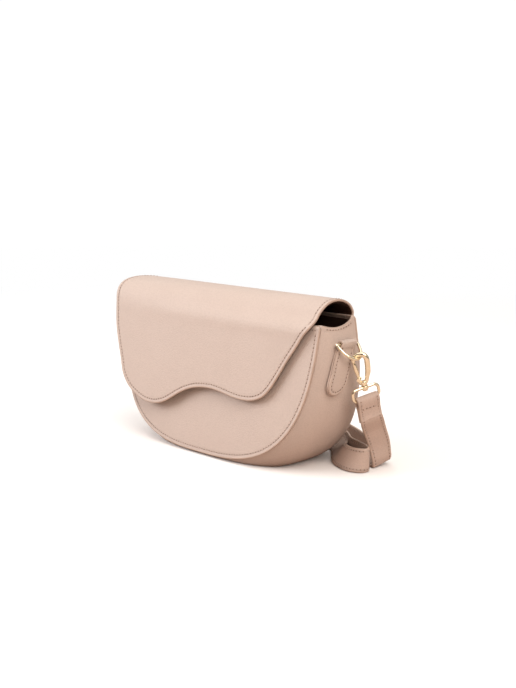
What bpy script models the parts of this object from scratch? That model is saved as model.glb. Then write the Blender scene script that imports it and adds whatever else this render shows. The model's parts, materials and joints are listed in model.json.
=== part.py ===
"""Shoulder bag with a wave-edged flap, a bellied gusset and a clip-on strap.

Frame: +X to the wearer's right side of the front, -Y out of the front, +Z up.
The origin is the middle of the flat that the bag stands on. Lengths are in metres.
"""

from math import asin, atan2, cos, pi, radians, sin, sqrt

import bpy
from mathutils import Matrix, Vector

# Body
HALF_WIDTH = 0.125
BODY_HEIGHT = 0.126
BACK_RISE = 0.005
SEAM_LIFT = 0.0023
TOP_DEPTH = 0.046
BOTTOM_DEPTH = 0.096
GUSSET_BULGE = 0.0145
GUSSET_TOP_SAG = 0.0045
FLANGE_WIDTH = 0.008
PANEL_LEATHER = 0.0020
GUSSET_LEATHER = 0.0018
LINING = 0.0008
LINING_INSET = 0.0024
LINING_TOP_DROP = 0.0030
LINING_EASE = 0.0016
SEAM_GAP = 0.0003

# Shape of the panels' outline and of the belly, as plain ratios
OUTLINE_POWER_SHARE = 0.69
BULGE_FADE_SHARE = 0.8
BULGE_POWER_SHARE = 4.0
SAG_START_SHARE = 0.8
OUTLINE_STEPS = 34
FINE_STEPS = 720
SMALL_TURN = radians(0.006)
GUSSET_STEPS = 8

# Flap
FLAP_RISE = 0.0204
FLAP_LEATHER = 0.0020
FLAP_LINING = 0.0008
FLAP_STANDOFF_RIGHT = 0.0056
FLAP_STANDOFF_LEFT = 0.0118
FLAP_BAND_DROP = 0.0030
FLAP_FRONT_ROWS = 4
# Width of the flap at its back edge against that of its front, on the right and on the left
FLAP_BACK_RIGHT_SHARE = 1.0
FLAP_BACK_LEFT_SHARE = 0.90
# Middle section over the mouth: y as a share of half the top depth, z as a share of the rise
FLAP_ARCH_SHARES = [
    (1.19, 0.34),
    (1.13, 0.50),
    (0.98, 0.71),
    (0.68, 0.90),
    (0.33, 0.98),
    (-0.05, 0.95),
    (-0.40, 0.82),
    (-0.76, 0.56),
    (-1.02, 0.26),
]
# Free edge from the right top corner round to the left one: x as a share of half the width,
# z as a share of the body height above the seam
FLAP_EDGE_SHARES = [
    (0.948, 0.990),
    (0.895, 0.924),
    (0.842, 0.836),
    (0.787, 0.750),
    (0.738, 0.660),
    (0.668, 0.549),
    (0.605, 0.487),
    (0.525, 0.456),
    (0.449, 0.446),
    (0.350, 0.448),
    (0.246, 0.463),
    (0.110, 0.478),
    (-0.014, 0.471),
    (-0.116, 0.449),
    (-0.216, 0.406),
    (-0.314, 0.348),
    (-0.395, 0.307),
    (-0.471, 0.288),
    (-0.540, 0.285),
    (-0.613, 0.293),
    (-0.713, 0.326),
    (-0.808, 0.374),
    (-0.878, 0.460),
    (-0.930, 0.570),
    (-0.985, 0.690),
    (-1.035, 0.830),
    (-1.060, 0.980),
]

# Magnetic snap
SNAP_RADIUS = 0.0090
SNAP_HEIGHT_SHARE = 0.56
SNAP_SOCKET_THICKNESS = 0.0023
SNAP_BORE_RADIUS = 0.0040
SNAP_BORE_DEPTH = 0.0016
SNAP_STUD_RADIUS = 0.0019
SNAP_STUD_LENGTH = 0.0012
SNAP_WASHER_RADIUS = 0.0070
SNAP_WASHER_THICKNESS = 0.0008

# Slip pocket on the back lining
POCKET_HALF_WIDTH_SHARE = 0.52
POCKET_BOTTOM_SHARE = 0.22
POCKET_TOP_SHARE = 0.74

# Side tabs
TAB_WIDTH = 0.0220
TAB_LENGTH = 0.0420
TAB_LEATHER = 0.0016
TAB_DROP = 0.0155
TAB_OFFSET = 0.0020
TAB_SLANT = 0.0160
TAB_SLANT_SHARE = 0.8
TAB_FOLD_SHARE = 0.86
TAB_TIP_SHARE = 0.3
TAB_CLEARANCE = 0.0004
TAB_CLOSING = 5.0
TAB_WIDENING = 3.0
TAB_STEPS = 12

# Rings
RING_WIRE = 0.0013
RING_REACH = 0.0165
RING_SIDE_CLEARANCE = 0.0015
RING_OFFSET = 0.0008
RING_TILT = radians(45)
RING_STEPS = 20

# Snap hooks, along their own height from the ring wire that they hang on
HOOK_WIRE = 0.0017
HOOK_BEND = 0.0054
HOOK_SLIDE = 0.0028
HOOK_CLEARANCE = 0.00035
HOOK_YOKE_DROP = 0.0226
HOOK_TIP_DROP = 0.0033
HORN_DROP = 0.0204
GATE_PIVOT_DROP = 0.0186
GATE_PIVOT_OFFSET = 0.0034
GATE_RADIUS = 0.0011
GATE_EYE_RADIUS = 0.0015
GATE_PIN_RADIUS = 0.0007
GATE_PIN_CLEARANCE = 0.00015
GATE_SIDE_CLEARANCE = 0.00020
GATE_TIP_CLEARANCE = 0.00050
LUG_RADIUS = 0.0019
LUG_HALF_WIDTH = 0.0025
LUG_HEIGHT = 0.0034
LUG_FOOT_SHARE = 0.95
HOOK_LEAN_SHARES = (0.04, 0.25, -0.967)
HOOK_OUT_SHARES = (0.80, 0.60, 0.0)
# The bent wire from the horn round the yoke to the straight back: x as a share of the bend,
# z as a share of the yoke's drop
HOOK_BACK_SHARES = [
    (-0.54, -0.965),
    (-0.28, -0.998),
    (0.06, -0.992),
    (0.35, -0.940),
    (0.60, -0.820),
    (0.80, -0.600),
    (0.94, -0.360),
    (1.00, -0.170),
]

# Swivel loops. The hook's stem passes through the loop's boss and ends in a head inside it.
LOOP_WIRE = 0.0013
LOOP_HEIGHT = 0.0080
LOOP_SIDE_CLEARANCE = 0.0005
LOOP_CORNER = 0.0024
LOOP_WIDE_SHARES = (0.36, 0.90, 0.26)
BOSS_RADIUS = 0.0029
BOSS_HEIGHT = 0.0034
STEM_RADIUS = 0.0013
STEM_CLEARANCE = 0.0003
STEM_HEAD_RADIUS = 0.0021
STEM_HEAD_THICKNESS = 0.0009

# Strap
STRAP_WIDTH = 0.0210
STRAP_THICKNESS = 0.0022
STRAP_TAIL = 0.0190
# Rows down the folded end: share of the tail below the bar, and how far the two plies stand apart,
# from 0, closed, to 1, round the bar
STRAP_TAIL_SHARES = [(1.0, 0.0), (0.72, 0.0), (0.45, 0.0), (0.28, 0.56), (0.12, 1.0)]
STRAP_LAYER_GAP = 0.0004
STRAP_FLOOR_GAP = 0.0002
STRAP_SETTLE = 0.0030
STRAP_STEP = 0.0070

# The lay of the strap from the right foot to the left one. Each row holds x as a share of half the
# width, y as a share of half the bottom depth, and the direction of the strap's width.
STRAP_LAY_SHARES = [
    (1.070, 0.917, (0.12, 0.96, 0.25)),
    (1.020, 1.000, (0.10, 0.74, 0.66)),
    (0.952, 1.062, (0.03, 0.30, 0.95)),
    (0.880, 1.146, (0.00, 0.04, 1.00)),
    (0.772, 1.302, (0.00, 0.00, 1.00)),
    (0.660, 1.448, (0.00, 0.00, 1.00)),
    (0.488, 1.635, (0.00, 0.00, 1.00)),
    (0.176, 1.844, (0.00, 0.00, 1.00)),
    (-0.160, 1.925, (0.00, 0.00, 1.00)),
    (-0.480, 1.904, (0.00, 0.00, 1.00)),
    (-0.680, 1.860, (0.00, 0.00, 1.00)),
    (-0.764, 1.790, (0.00, 0.00, 1.00)),
    (-0.808, 1.679, (0.00, 0.00, 1.00)),
    (-0.800, 1.560, (0.00, 0.00, 1.00)),
    (-0.744, 1.460, (0.00, 0.00, 1.00)),
    (-0.648, 1.400, (0.00, 0.00, 1.00)),
    (-0.480, 1.365, (0.00, 0.00, 1.00)),
    (-0.160, 1.346, (0.00, 0.00, 1.00)),
    (0.200, 1.321, (0.00, 0.00, 1.00)),
    (0.440, 1.271, (0.00, 0.00, 1.00)),
    (0.608, 1.188, (0.00, 0.00, 1.00)),
    (0.744, 1.042, (0.00, 0.00, 1.00)),
    (0.860, 0.792, (0.00, 0.00, 1.00)),
    (0.980, 0.667, (0.00, 0.00, 1.00)),
    (1.080, 0.560, (0.00, 0.00, 1.00)),
    (1.136, 0.442, (0.00, 0.00, 1.00)),
    (1.144, 0.321, (0.00, 0.10, 0.99)),
    (1.096, 0.238, (0.00, 0.25, 0.97)),
    (1.020, 0.242, (0.00, 0.40, 0.92)),
    (0.948, 0.317, (0.05, 0.45, 0.89)),
    (0.876, 0.438, (0.10, 0.60, 0.80)),
    (0.808, 0.635, (0.10, 0.78, 0.62)),
    (0.748, 0.833, (0.08, 0.80, 0.60)),
    (0.672, 0.996, (0.00, 0.60, 0.80)),
    (0.544, 1.090, (0.00, 0.20, 0.98)),
    (0.160, 1.121, (0.00, 0.00, 1.00)),
    (-0.320, 1.129, (0.00, 0.00, 1.00)),
    (-0.620, 1.160, (0.00, 0.00, 1.00)),
    (-0.776, 1.188, (0.00, 0.04, 1.00)),
    (-0.880, 1.188, (-0.03, 0.30, 0.95)),
    (-0.968, 1.115, (-0.10, 0.74, 0.66)),
    (-1.064, 0.958, (-0.12, 0.96, 0.25)),
]
# Foot and rise of each hanging stretch: x and y as above, z as a share of the strap's width
STRAP_FOOT_SHARES = [
    (1.117, 0.854, 0.171, (0.20, 0.93, 0.30)),
    (1.133, 0.835, 0.295, (0.22, 0.91, 0.35)),
    (1.136, 0.812, 0.486, (0.22, 0.94, 0.25)),
    (1.130, 0.765, 1.005, (0.34, 0.92, 0.19)),
    (1.144, 0.588, 1.695, (0.34, 0.92, 0.18)),
]

# Sides of the round wires and turned pieces
WIRE_SIDES = 10
LOOP_CORNER_STEPS = 4
TURNED_SIDES = 24
SMALL_SIDES = 16
SMOOTH_ANGLE = radians(40)
CUT_OVERRUN = 0.0010

BLUSH = (0.62, 0.43, 0.33)
STRAP_BLUSH = (0.50, 0.36, 0.29)
LINING_BROWN = (0.050, 0.026, 0.018)
PALE_GOLD = (0.83, 0.66, 0.40)
STEEL = (0.60, 0.60, 0.61)


def clear_scene():
    for obj in list(bpy.data.objects):
        bpy.data.objects.remove(obj, do_unlink=True)


def material(name, colour, roughness, metallic):
    made = bpy.data.materials.new(name)
    made.use_nodes = True
    shader = made.node_tree.nodes["Principled BSDF"]
    shader.inputs["Base Color"].default_value = (*colour, 1.0)
    shader.inputs["Roughness"].default_value = roughness
    shader.inputs["Metallic"].default_value = metallic
    return made


def leather(name):
    return material(name, BLUSH, 0.55, 0.0)


def lining_cloth(name):
    return material(name, LINING_BROWN, 0.85, 0.0)


def gold(name):
    return material(name, PALE_GOLD, 0.18, 1.0)


def add_object(name, points, faces, finish, matrix=None, parent=None):
    """A mesh object with its faces turned outward and its round parts shaded smooth."""
    mesh = bpy.data.meshes.new(name)
    mesh.from_pydata([tuple(p) for p in points], [], faces)
    mesh.validate()
    mesh.materials.append(finish)
    mesh.shade_smooth()
    mesh.set_sharp_from_angle(angle=SMOOTH_ANGLE)
    obj = bpy.data.objects.new(name, mesh)
    bpy.context.collection.objects.link(obj)
    if parent is not None:
        obj.parent = parent
    if matrix is not None:
        obj.matrix_local = matrix
    return obj


def loft_data(rings, cyclic=False):
    """Points and faces of a skin through rings of equal counts, capped unless it is cyclic."""
    count = len(rings[0])
    points = [p for ring in rings for p in ring]
    faces = []
    spans = len(rings) if cyclic else len(rings) - 1
    for i in range(spans):
        a = i * count
        b = ((i + 1) % len(rings)) * count
        for j in range(count):
            k = (j + 1) % count
            faces.append((a + j, a + k, b + k, b + j))
    if not cyclic:
        faces.append(tuple(reversed(range(count))))
        last = (len(rings) - 1) * count
        faces.append(tuple(last + j for j in range(count)))
    return points, faces


def sheet_data(outer, inner):
    """A thin shell between two grids of the same size: two skins and the rim that joins them."""
    rows = len(outer)
    columns = len(outer[0])
    points = [p for row in outer for p in row] + [p for row in inner for p in row]
    shift = rows * columns
    faces = []
    for i in range(rows - 1):
        for j in range(columns - 1):
            a = i * columns + j
            b = a + columns
            faces.append((a, a + 1, b + 1, b))
            faces.append((shift + a, shift + b, shift + b + 1, shift + a + 1))
    rim = [j for j in range(columns)]
    rim += [i * columns + columns - 1 for i in range(1, rows)]
    rim += [(rows - 1) * columns + j for j in range(columns - 2, -1, -1)]
    rim += [i * columns for i in range(rows - 2, 0, -1)]
    for k, a in enumerate(rim):
        b = rim[(k + 1) % len(rim)]
        faces.append((a, shift + a, shift + b, b))
    return points, faces


def turn_outward(obj):
    """Recalculates the face directions of a closed mesh, so that they all point out."""
    mesh = obj.data
    volume = 0.0
    mesh.calc_loop_triangles()
    for triangle in mesh.loop_triangles:
        a, b, c = (mesh.vertices[i].co for i in triangle.vertices)
        volume += a.dot(b.cross(c))
    if volume < 0.0:
        mesh.flip_normals()
    return obj


def tube_data(path, radius, sides, cyclic=False, across=None):
    """A round wire along a path. The path lies near a plane whose normal is across."""
    across = Vector(across)
    rings = []
    count = len(path)
    for i, point in enumerate(path):
        before = path[(i - 1) % count] if cyclic or i > 0 else path[i]
        after = path[(i + 1) % count] if cyclic or i < count - 1 else path[i]
        along = (Vector(after) - Vector(before)).normalized()
        side = (across - along * across.dot(along)).normalized()
        up = along.cross(side)
        ring = []
        for k in range(sides):
            angle = 2 * pi * (k + 0.5) / sides
            ring.append(Vector(point) + (side * cos(angle) + up * sin(angle)) * radius)
        rings.append(ring)
    return loft_data(rings, cyclic)


def cylinder_data(radius, low, high, sides, axis="Z", centre=(0.0, 0.0, 0.0)):
    rings = []
    for level in (low, high):
        ring = []
        for k in range(sides):
            angle = 2 * pi * (k + 0.5) / sides
            a, b = radius * cos(angle), radius * sin(angle)
            local = {"Z": (a, b, level), "Y": (a, level, b), "X": (level, a, b)}[axis]
            ring.append(Vector(centre) + Vector(local))
        rings.append(ring)
    return loft_data(rings)


def box_data(low, high):
    xs, ys, zs = zip(low, high)
    lower = [Vector((xs[i], ys[j], zs[0])) for i, j in ((0, 0), (1, 0), (1, 1), (0, 1))]
    upper = [Vector((p.x, p.y, zs[1])) for p in lower]
    return loft_data([lower, upper])


def helper(name, data, parent, matrix=None):
    """A cutter or a piece to join on: it takes part in a Boolean and is left out itself."""
    obj = add_object(name, *data, bpy.data.materials["helper"], matrix, parent)
    turn_outward(obj)
    obj.hide_render = True
    obj.display_type = "WIRE"
    return obj


def combine(obj, other, operation):
    step = obj.modifiers.new(other.name, "BOOLEAN")
    step.operation = operation
    step.object = other
    step.solver = "EXACT"


# The outline of the panels


def outline_point(turn, side):
    """The seam line at a turn from 0, right top, to pi, left top. side is -1 in front, 1 behind."""
    height = BODY_HEIGHT + BACK_RISE * (side + 1) / 2
    c, s = cos(turn), sin(turn)
    x = HALF_WIDTH * (1 if c >= 0 else -1) * abs(c) ** OUTLINE_POWER_SHARE
    z = height * (1 - abs(s) ** OUTLINE_POWER_SHARE)
    return x, z


def outline_normal(turn, side):
    """The outward direction of the seam line in the XZ plane."""
    ax, az = outline_point(max(turn - SMALL_TURN, 0.0), side)
    bx, bz = outline_point(min(turn + SMALL_TURN, pi), side)
    size = sqrt((bx - ax) ** 2 + (bz - az) ** 2)
    return -(bz - az) / size, (bx - ax) / size


def outline_turns():
    """Turns that space the seam line evenly along its length."""
    fine = [pi * i / FINE_STEPS for i in range(FINE_STEPS + 1)]
    length = [0.0]
    for a, b in zip(fine, fine[1:]):
        ax, az = outline_point(a, -1)
        bx, bz = outline_point(b, -1)
        length.append(length[-1] + sqrt((bx - ax) ** 2 + (bz - az) ** 2))
    turns = []
    k = 0
    for i in range(OUTLINE_STEPS + 1):
        target = length[-1] * i / OUTLINE_STEPS
        while k < FINE_STEPS - 1 and length[k + 1] < target:
            k += 1
        share = (target - length[k]) / (length[k + 1] - length[k])
        turns.append(fine[k] + share * (fine[k + 1] - fine[k]))
    return turns


def face_y(side, z, inward):
    """y of the plane that lies inward of the outer face of the front (-1) or back (1) panel."""
    depth = BOTTOM_DEPTH + (TOP_DEPTH - BOTTOM_DEPTH) * z / BODY_HEIGHT
    slope = (BOTTOM_DEPTH - TOP_DEPTH) / 2 / BODY_HEIGHT
    return side * (depth / 2 - inward * sqrt(1 + slope * slope))


FLANGE_INWARD = PANEL_LEATHER + SEAM_GAP
LINING_INWARD = FLANGE_INWARD + GUSSET_LEATHER + SEAM_GAP
INSIDE_INWARD = LINING_INWARD + LINING


def web_point(turn, s, inset):
    """x and height of the gusset's belly, and the seam's own height there.

    s runs from -1 at the front seam to 1 at the back seam.
    """
    x, z = outline_point(turn, s)
    nx, nz = outline_normal(turn, s)
    level = max(0.0, min(1.0, z / BODY_HEIGHT))
    bulge = GUSSET_BULGE * (1 - abs(s) ** BULGE_POWER_SHARE) * (1 - BULGE_FADE_SHARE * level**2)
    reach = bulge - inset
    near_top = max(0.0, (level - SAG_START_SHARE) / (1 - SAG_START_SHARE))
    sag = GUSSET_TOP_SAG * (1 - s * s) * near_top**2
    px = x + nx * reach
    pz = z + nz * reach - sag
    return px, max(pz + SEAM_LIFT, inset), z


def web_row(turn, inset, inward):
    """The belly's points from front to back, inset from its skin and held between the panels."""
    row = []
    for k in range(GUSSET_STEPS + 1):
        s = -1 + 2 * k / GUSSET_STEPS
        px, pz, seam_z = web_point(turn, s, inset)
        row.append(Vector((px, abs(s) * face_y(1 if s > 0 else -1, seam_z, inward), pz)))
    return row


def panel_outline(side, inset, top_drop):
    """The panel's closed outline in x and height above the seam, inset from the seam line."""
    height = BODY_HEIGHT + BACK_RISE * (side + 1) / 2
    line = []
    for turn in outline_turns():
        x, z = outline_point(turn, side)
        nx, nz = outline_normal(turn, side)
        line.append((x - nx * inset, min(z - nz * inset, height - top_drop)))
    return line


def panel_slab(name, side, inset, top_drop, near, far, finish):
    """A flat panel between two planes that lie inward of the outer face by near and far."""
    line = panel_outline(side, inset, top_drop)
    rings = []
    for inward in (near, far):
        rings.append([Vector((x, face_y(side, z, inward), z + SEAM_LIFT)) for x, z in line])
    return turn_outward(add_object(name, *loft_data(rings), finish))


def build_gusset():
    rings = []
    for turn in outline_turns():
        ring = web_row(turn, 0.0, FLANGE_INWARD)
        nx, nz = outline_normal(turn, 1)
        for side, first in ((1, FLANGE_INWARD), (-1, FLANGE_INWARD + GUSSET_LEATHER)):
            x, z = outline_point(turn, side)
            fx, fz = x - nx * FLANGE_WIDTH, z - nz * FLANGE_WIDTH
            second = FLANGE_INWARD + GUSSET_LEATHER if side == 1 else FLANGE_INWARD
            flange = [Vector((fx, face_y(side, fz, inward), fz + SEAM_LIFT)) for inward in (first, second)]
            ring += flange
            if side == 1:
                ring += reversed(web_row(turn, GUSSET_LEATHER, FLANGE_INWARD + GUSSET_LEATHER))
        rings.append(ring)
    return turn_outward(add_object("gusset", *loft_data(rings), leather("gusset_leather")))


def build_gusset_lining():
    skin = GUSSET_LEATHER + LINING_EASE
    inward = INSIDE_INWARD + SEAM_GAP
    turns = outline_turns()
    turns[0] = asin((LINING_TOP_DROP / BODY_HEIGHT) ** (1 / OUTLINE_POWER_SHARE))
    turns[-1] = pi - turns[0]
    outer = [web_row(turn, skin, inward) for turn in turns]
    inner = [web_row(turn, skin + LINING, inward) for turn in turns]
    return turn_outward(add_object("gusset_lining", *sheet_data(outer, inner), lining_cloth("gusset_lining_cloth")))


def build_panels():
    panel_slab("front_panel", -1, 0.0, 0.0, 0.0, PANEL_LEATHER, leather("front_leather"))
    panel_slab("back_panel", 1, 0.0, 0.0, 0.0, PANEL_LEATHER, leather("back_leather"))
    cloth = lining_cloth("panel_lining_cloth")
    inset = GUSSET_LEATHER + LINING_INSET
    for name, side in (("front_lining", -1), ("back_lining", 1)):
        panel_slab(name, side, inset, LINING_TOP_DROP, LINING_INWARD, INSIDE_INWARD, cloth)


def build_pocket():
    """An open-topped patch pocket, sewn flat to the back lining."""
    half = HALF_WIDTH * POCKET_HALF_WIDTH_SHARE
    low, high = BODY_HEIGHT * POCKET_BOTTOM_SHARE, BODY_HEIGHT * POCKET_TOP_SHARE
    near = INSIDE_INWARD + SEAM_GAP
    corners = [(-half, low), (half, low), (half, high), (-half, high)]
    rings = []
    for inward in (near, near + LINING):
        rings.append([Vector((x, face_y(1, z, inward), z + SEAM_LIFT)) for x, z in corners])
    turn_outward(add_object("slip_pocket", *loft_data(rings), lining_cloth("pocket_cloth")))


# The flap


BACK_STANDOFF = SEAM_GAP + FLAP_LINING + SEAM_GAP + FLAP_LEATHER
BAND_HEIGHT = BODY_HEIGHT - FLAP_BAND_DROP
HINGE_Y = face_y(1, BAND_HEIGHT, -BACK_STANDOFF)
HINGE_Z = BAND_HEIGHT + SEAM_LIFT


def offset_line(line, distance):
    """Moves a line of (y, z) points to its left by a distance, keeping the corners mitred."""
    moved = []
    last = len(line) - 1
    for i, (y, z) in enumerate(line):
        normals = []
        for a, b in ((i - 1, i), (i, i + 1)):
            if a >= 0 and b <= last:
                dy, dz = line[b][0] - line[a][0], line[b][1] - line[a][1]
                size = sqrt(dy * dy + dz * dz)
                normals.append((-dz / size, dy / size))
        ny = sum(n[0] for n in normals) / len(normals)
        nz = sum(n[1] for n in normals) / len(normals)
        square = ny * ny + nz * nz
        moved.append((y + ny / square * distance, z + nz / square * distance))
    return moved


def flap_section(x, depth_inward, foot):
    """The flap's section in y and z, from the hinge over the mouth and down to the foot."""
    share = (x + HALF_WIDTH) / (2 * HALF_WIDTH)
    standoff = FLAP_STANDOFF_LEFT + (FLAP_STANDOFF_RIGHT - FLAP_STANDOFF_LEFT) * share
    middle = (FLAP_STANDOFF_LEFT + FLAP_STANDOFF_RIGHT) / 2
    top = SEAM_LIFT + BODY_HEIGHT
    line = [(HINGE_Y, HINGE_Z), (face_y(1, BODY_HEIGHT, -BACK_STANDOFF), top)]
    for y, z in FLAP_ARCH_SHARES:
        forward = max(0.0, -y) * (standoff - middle)
        line.append((y * TOP_DEPTH / 2 - forward, top + z * FLAP_RISE))
    for k in range(FLAP_FRONT_ROWS + 1):
        z = BODY_HEIGHT + (foot - BODY_HEIGHT) * k / FLAP_FRONT_ROWS
        line.append((face_y(-1, z, -standoff), z + SEAM_LIFT))
    return offset_line(line, depth_inward)


def flap_grid(depth_inward, edge_inset):
    """Columns from the right corner to the left one, each from the hinge to the free edge."""
    grid = []
    count = len(FLAP_EDGE_SHARES)
    for i, (x_share, z_share) in enumerate(FLAP_EDGE_SHARES):
        before = FLAP_EDGE_SHARES[max(i - 1, 0)]
        after = FLAP_EDGE_SHARES[min(i + 1, count - 1)]
        dx = (after[0] - before[0]) * HALF_WIDTH
        dz = (after[1] - before[1]) * BODY_HEIGHT
        size = sqrt(dx * dx + dz * dz)
        x = x_share * HALF_WIDTH + dz / size * edge_inset
        foot = z_share * BODY_HEIGHT - dx / size * edge_inset
        section = flap_section(x, depth_inward, foot)
        back_share = FLAP_BACK_RIGHT_SHARE if x > 0 else FLAP_BACK_LEFT_SHARE
        column = []
        for k, (y, z) in enumerate(section):
            forward = sin(pi / 2 * min(1.0, (k + 1) / len(FLAP_ARCH_SHARES)))
            column.append(Vector((x * (back_share + (1 - back_share) * forward), y, z)))
        grid.append(column)
    return grid


def build_flap():
    hinge = bpy.data.objects.new("flap_hinge", None)
    hinge.location = (0.0, HINGE_Y, HINGE_Z)
    bpy.context.collection.objects.link(hinge)
    place = Matrix.Translation(-hinge.location)
    lining_near = FLAP_LEATHER + SEAM_GAP
    outer = flap_grid(0.0, 0.0)
    inner = flap_grid(FLAP_LEATHER, 0.0)
    shell = sheet_data(outer, inner)
    turn_outward(add_object("flap", *shell, leather("flap_leather"), place, hinge))
    outer = flap_grid(lining_near, LINING)
    inner = flap_grid(lining_near + FLAP_LINING, LINING)
    cloth = lining_cloth("flap_lining_cloth")
    turn_outward(add_object("flap_lining", *sheet_data(outer, inner), cloth, place, hinge))
    return hinge


def snap_matrix(outward):
    """A frame on the snap's axis, its Z along the front panel's outward normal."""
    slope = (BOTTOM_DEPTH - TOP_DEPTH) / 2 / BODY_HEIGHT
    normal = Vector((0.0, -1.0, slope)).normalized()
    side = Vector((1.0, 0.0, 0.0))
    up = normal.cross(side)
    turn = Matrix((side, up, normal)).transposed().to_4x4()
    z = BODY_HEIGHT * SNAP_HEIGHT_SHARE
    foot = Vector((0.0, face_y(-1, z, 0.0), z + SEAM_LIFT))
    return Matrix.Translation(foot + normal * outward) @ turn


def disc(name, radius, low, high, finish, matrix, parent=None, sides=TURNED_SIDES):
    data = cylinder_data(radius, low, high, sides)
    return turn_outward(add_object(name, *data, finish, matrix, parent))


def build_snap(hinge):
    steel = material("snap_steel", STEEL, 0.3, 1.0)
    socket = disc("snap_socket", SNAP_RADIUS, 0.0, SNAP_SOCKET_THICKNESS, steel, snap_matrix(SEAM_GAP))
    bore = cylinder_data(
        SNAP_BORE_RADIUS,
        SNAP_SOCKET_THICKNESS - SNAP_BORE_DEPTH,
        SNAP_SOCKET_THICKNESS + CUT_OVERRUN,
        TURNED_SIDES,
    )
    combine(socket, helper("snap_bore", bore, None, snap_matrix(SEAM_GAP)), "DIFFERENCE")
    washer_top = -PANEL_LEATHER - SEAM_GAP
    disc(
        "snap_washer",
        SNAP_WASHER_RADIUS,
        washer_top - SNAP_WASHER_THICKNESS,
        washer_top,
        steel,
        snap_matrix(0.0),
    )
    low = 2 * SEAM_GAP + SNAP_SOCKET_THICKNESS
    standoff = (FLAP_STANDOFF_LEFT + FLAP_STANDOFF_RIGHT) / 2
    high = standoff - FLAP_LEATHER - FLAP_LINING - 3 * SEAM_GAP
    place = Matrix.Translation(-hinge.location) @ snap_matrix(0.0)
    stud = disc("snap_stud", SNAP_RADIUS, low, high, steel, place, hinge)
    pin = cylinder_data(SNAP_STUD_RADIUS, low - SNAP_STUD_LENGTH, low + (high - low) / 2, SMALL_SIDES)
    combine(stud, helper("snap_stud_pin", pin, hinge, place), "UNION")


# The sides: tabs, rings, hooks and loops. hand is 1 on the right and -1 on the left.


def side_x(y, height):
    """x of the gusset's right skin at a height above the floor, on the line of a given y."""
    best = None
    for i in range(1, FINE_STEPS):
        turn = pi / 2 * i / FINE_STEPS
        x, z = outline_point(turn, 0)
        depth = face_y(1, z, FLANGE_INWARD)
        s = max(-1.0, min(1.0, y / depth))
        px, pz, _ = web_point(turn, s, 0.0)
        if best is None or abs(pz - height) < best[0]:
            best = (abs(pz - height), px)
    return best[1]


FOLD_Z = SEAM_LIFT + BODY_HEIGHT - TAB_DROP
TAB_FOLD_RADIUS = RING_WIRE + TAB_CLEARANCE + TAB_LEATHER / 2
BAR_X = side_x(TAB_OFFSET, FOLD_Z) + SEAM_GAP + TAB_LEATHER / 2 + TAB_FOLD_RADIUS
BAR = Vector((BAR_X, RING_OFFSET, FOLD_Z))
FOLD = Vector((BAR_X, TAB_OFFSET, FOLD_Z))


def mirrored(vector, hand):
    return Vector((vector[0] * hand, vector[1], vector[2]))


def strip_data(stations, thickness):
    """A flat strip through stations of centre, half width vector and normal."""
    rings = []
    for centre, half, normal in stations:
        lift = normal * (thickness / 2)
        rings.append([centre - half - lift, centre + half - lift, centre + half + lift, centre - half + lift])
    return loft_data(rings)


def build_tab(name, hand):
    """A strip folded over the ring's bar: one leg lies on the gusset and the other on that leg."""
    legs = []
    for layer in (0, 1):
        leg = []
        for k in range(TAB_STEPS + 1):
            share = k / TAB_STEPS
            z = FOLD_Z - share * TAB_LENGTH
            y = TAB_OFFSET - share**TAB_SLANT_SHARE * TAB_SLANT
            skin = side_x(y, z)
            apart = 2 * TAB_FOLD_RADIUS * max(0.0, 1 - share * TAB_CLOSING)
            apart = max(apart, TAB_LEATHER + SEAM_GAP)
            x = skin + SEAM_GAP + TAB_LEATHER / 2 + layer * apart
            cut = max(0.0, (share * TAB_LENGTH - (TAB_LENGTH - TAB_WIDTH / 2)) / (TAB_WIDTH / 2))
            fold_share = TAB_FOLD_SHARE + (1 - TAB_FOLD_SHARE) * min(1.0, share * TAB_WIDENING)
            half = TAB_WIDTH / 2 * fold_share * max(sqrt(max(0.0, 1 - cut * cut)), TAB_TIP_SHARE)
            leg.append((Vector((x, y, z)), half))
        legs.append(leg)
    fold = []
    for k in range(1, 8):
        angle = pi * k / 8
        centre = FOLD + Vector((-cos(angle), 0.0, sin(angle))) * TAB_FOLD_RADIUS
        fold.append((centre, TAB_WIDTH / 2 * TAB_FOLD_SHARE))
    path = list(reversed(legs[0])) + fold + legs[1]
    stations = []
    for i, (centre, half) in enumerate(path):
        before = path[max(i - 1, 0)][0]
        after = path[min(i + 1, len(path) - 1)][0]
        along = after - before
        along.y = 0.0
        along.normalize()
        normal = Vector((along.z, 0.0, -along.x))
        stations.append((mirrored(centre, hand), Vector((0.0, half, 0.0)), mirrored(normal, hand)))
    turn_outward(add_object(name, *strip_data(stations, TAB_LEATHER), leather(name + "_leather")))


def ring_half():
    return TAB_WIDTH / 2 * TAB_FOLD_SHARE + RING_SIDE_CLEARANCE + RING_WIRE


def empty_at(name, point, matrix=None):
    made = bpy.data.objects.new(name, None)
    bpy.context.collection.objects.link(made)
    made.matrix_world = matrix if matrix is not None else Matrix.Translation(point)
    return made


def build_ring(name, hand):
    """A D ring. Its bar lies in the tab's fold, along Y, and its bow leans out and down."""
    pivot = empty_at(name + "_swing", mirrored(BAR, hand))
    down = mirrored((sin(RING_TILT), 0.0, -cos(RING_TILT)), hand)
    half = ring_half()
    path = [Vector((0.0, half * y, 0.0)) for y in (-0.5, 0.0, 0.5)]
    for k in range(RING_STEPS + 1):
        angle = pi * k / RING_STEPS
        path.append(Vector((0.0, half * cos(angle), 0.0)) + down * (RING_REACH * sin(angle)))
    across = down.cross(Vector((0.0, 1.0, 0.0)))
    data = tube_data(path, RING_WIRE, WIRE_SIDES, True, across)
    turn_outward(add_object(name, *data, gold(name + "_gold"), None, pivot))


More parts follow.
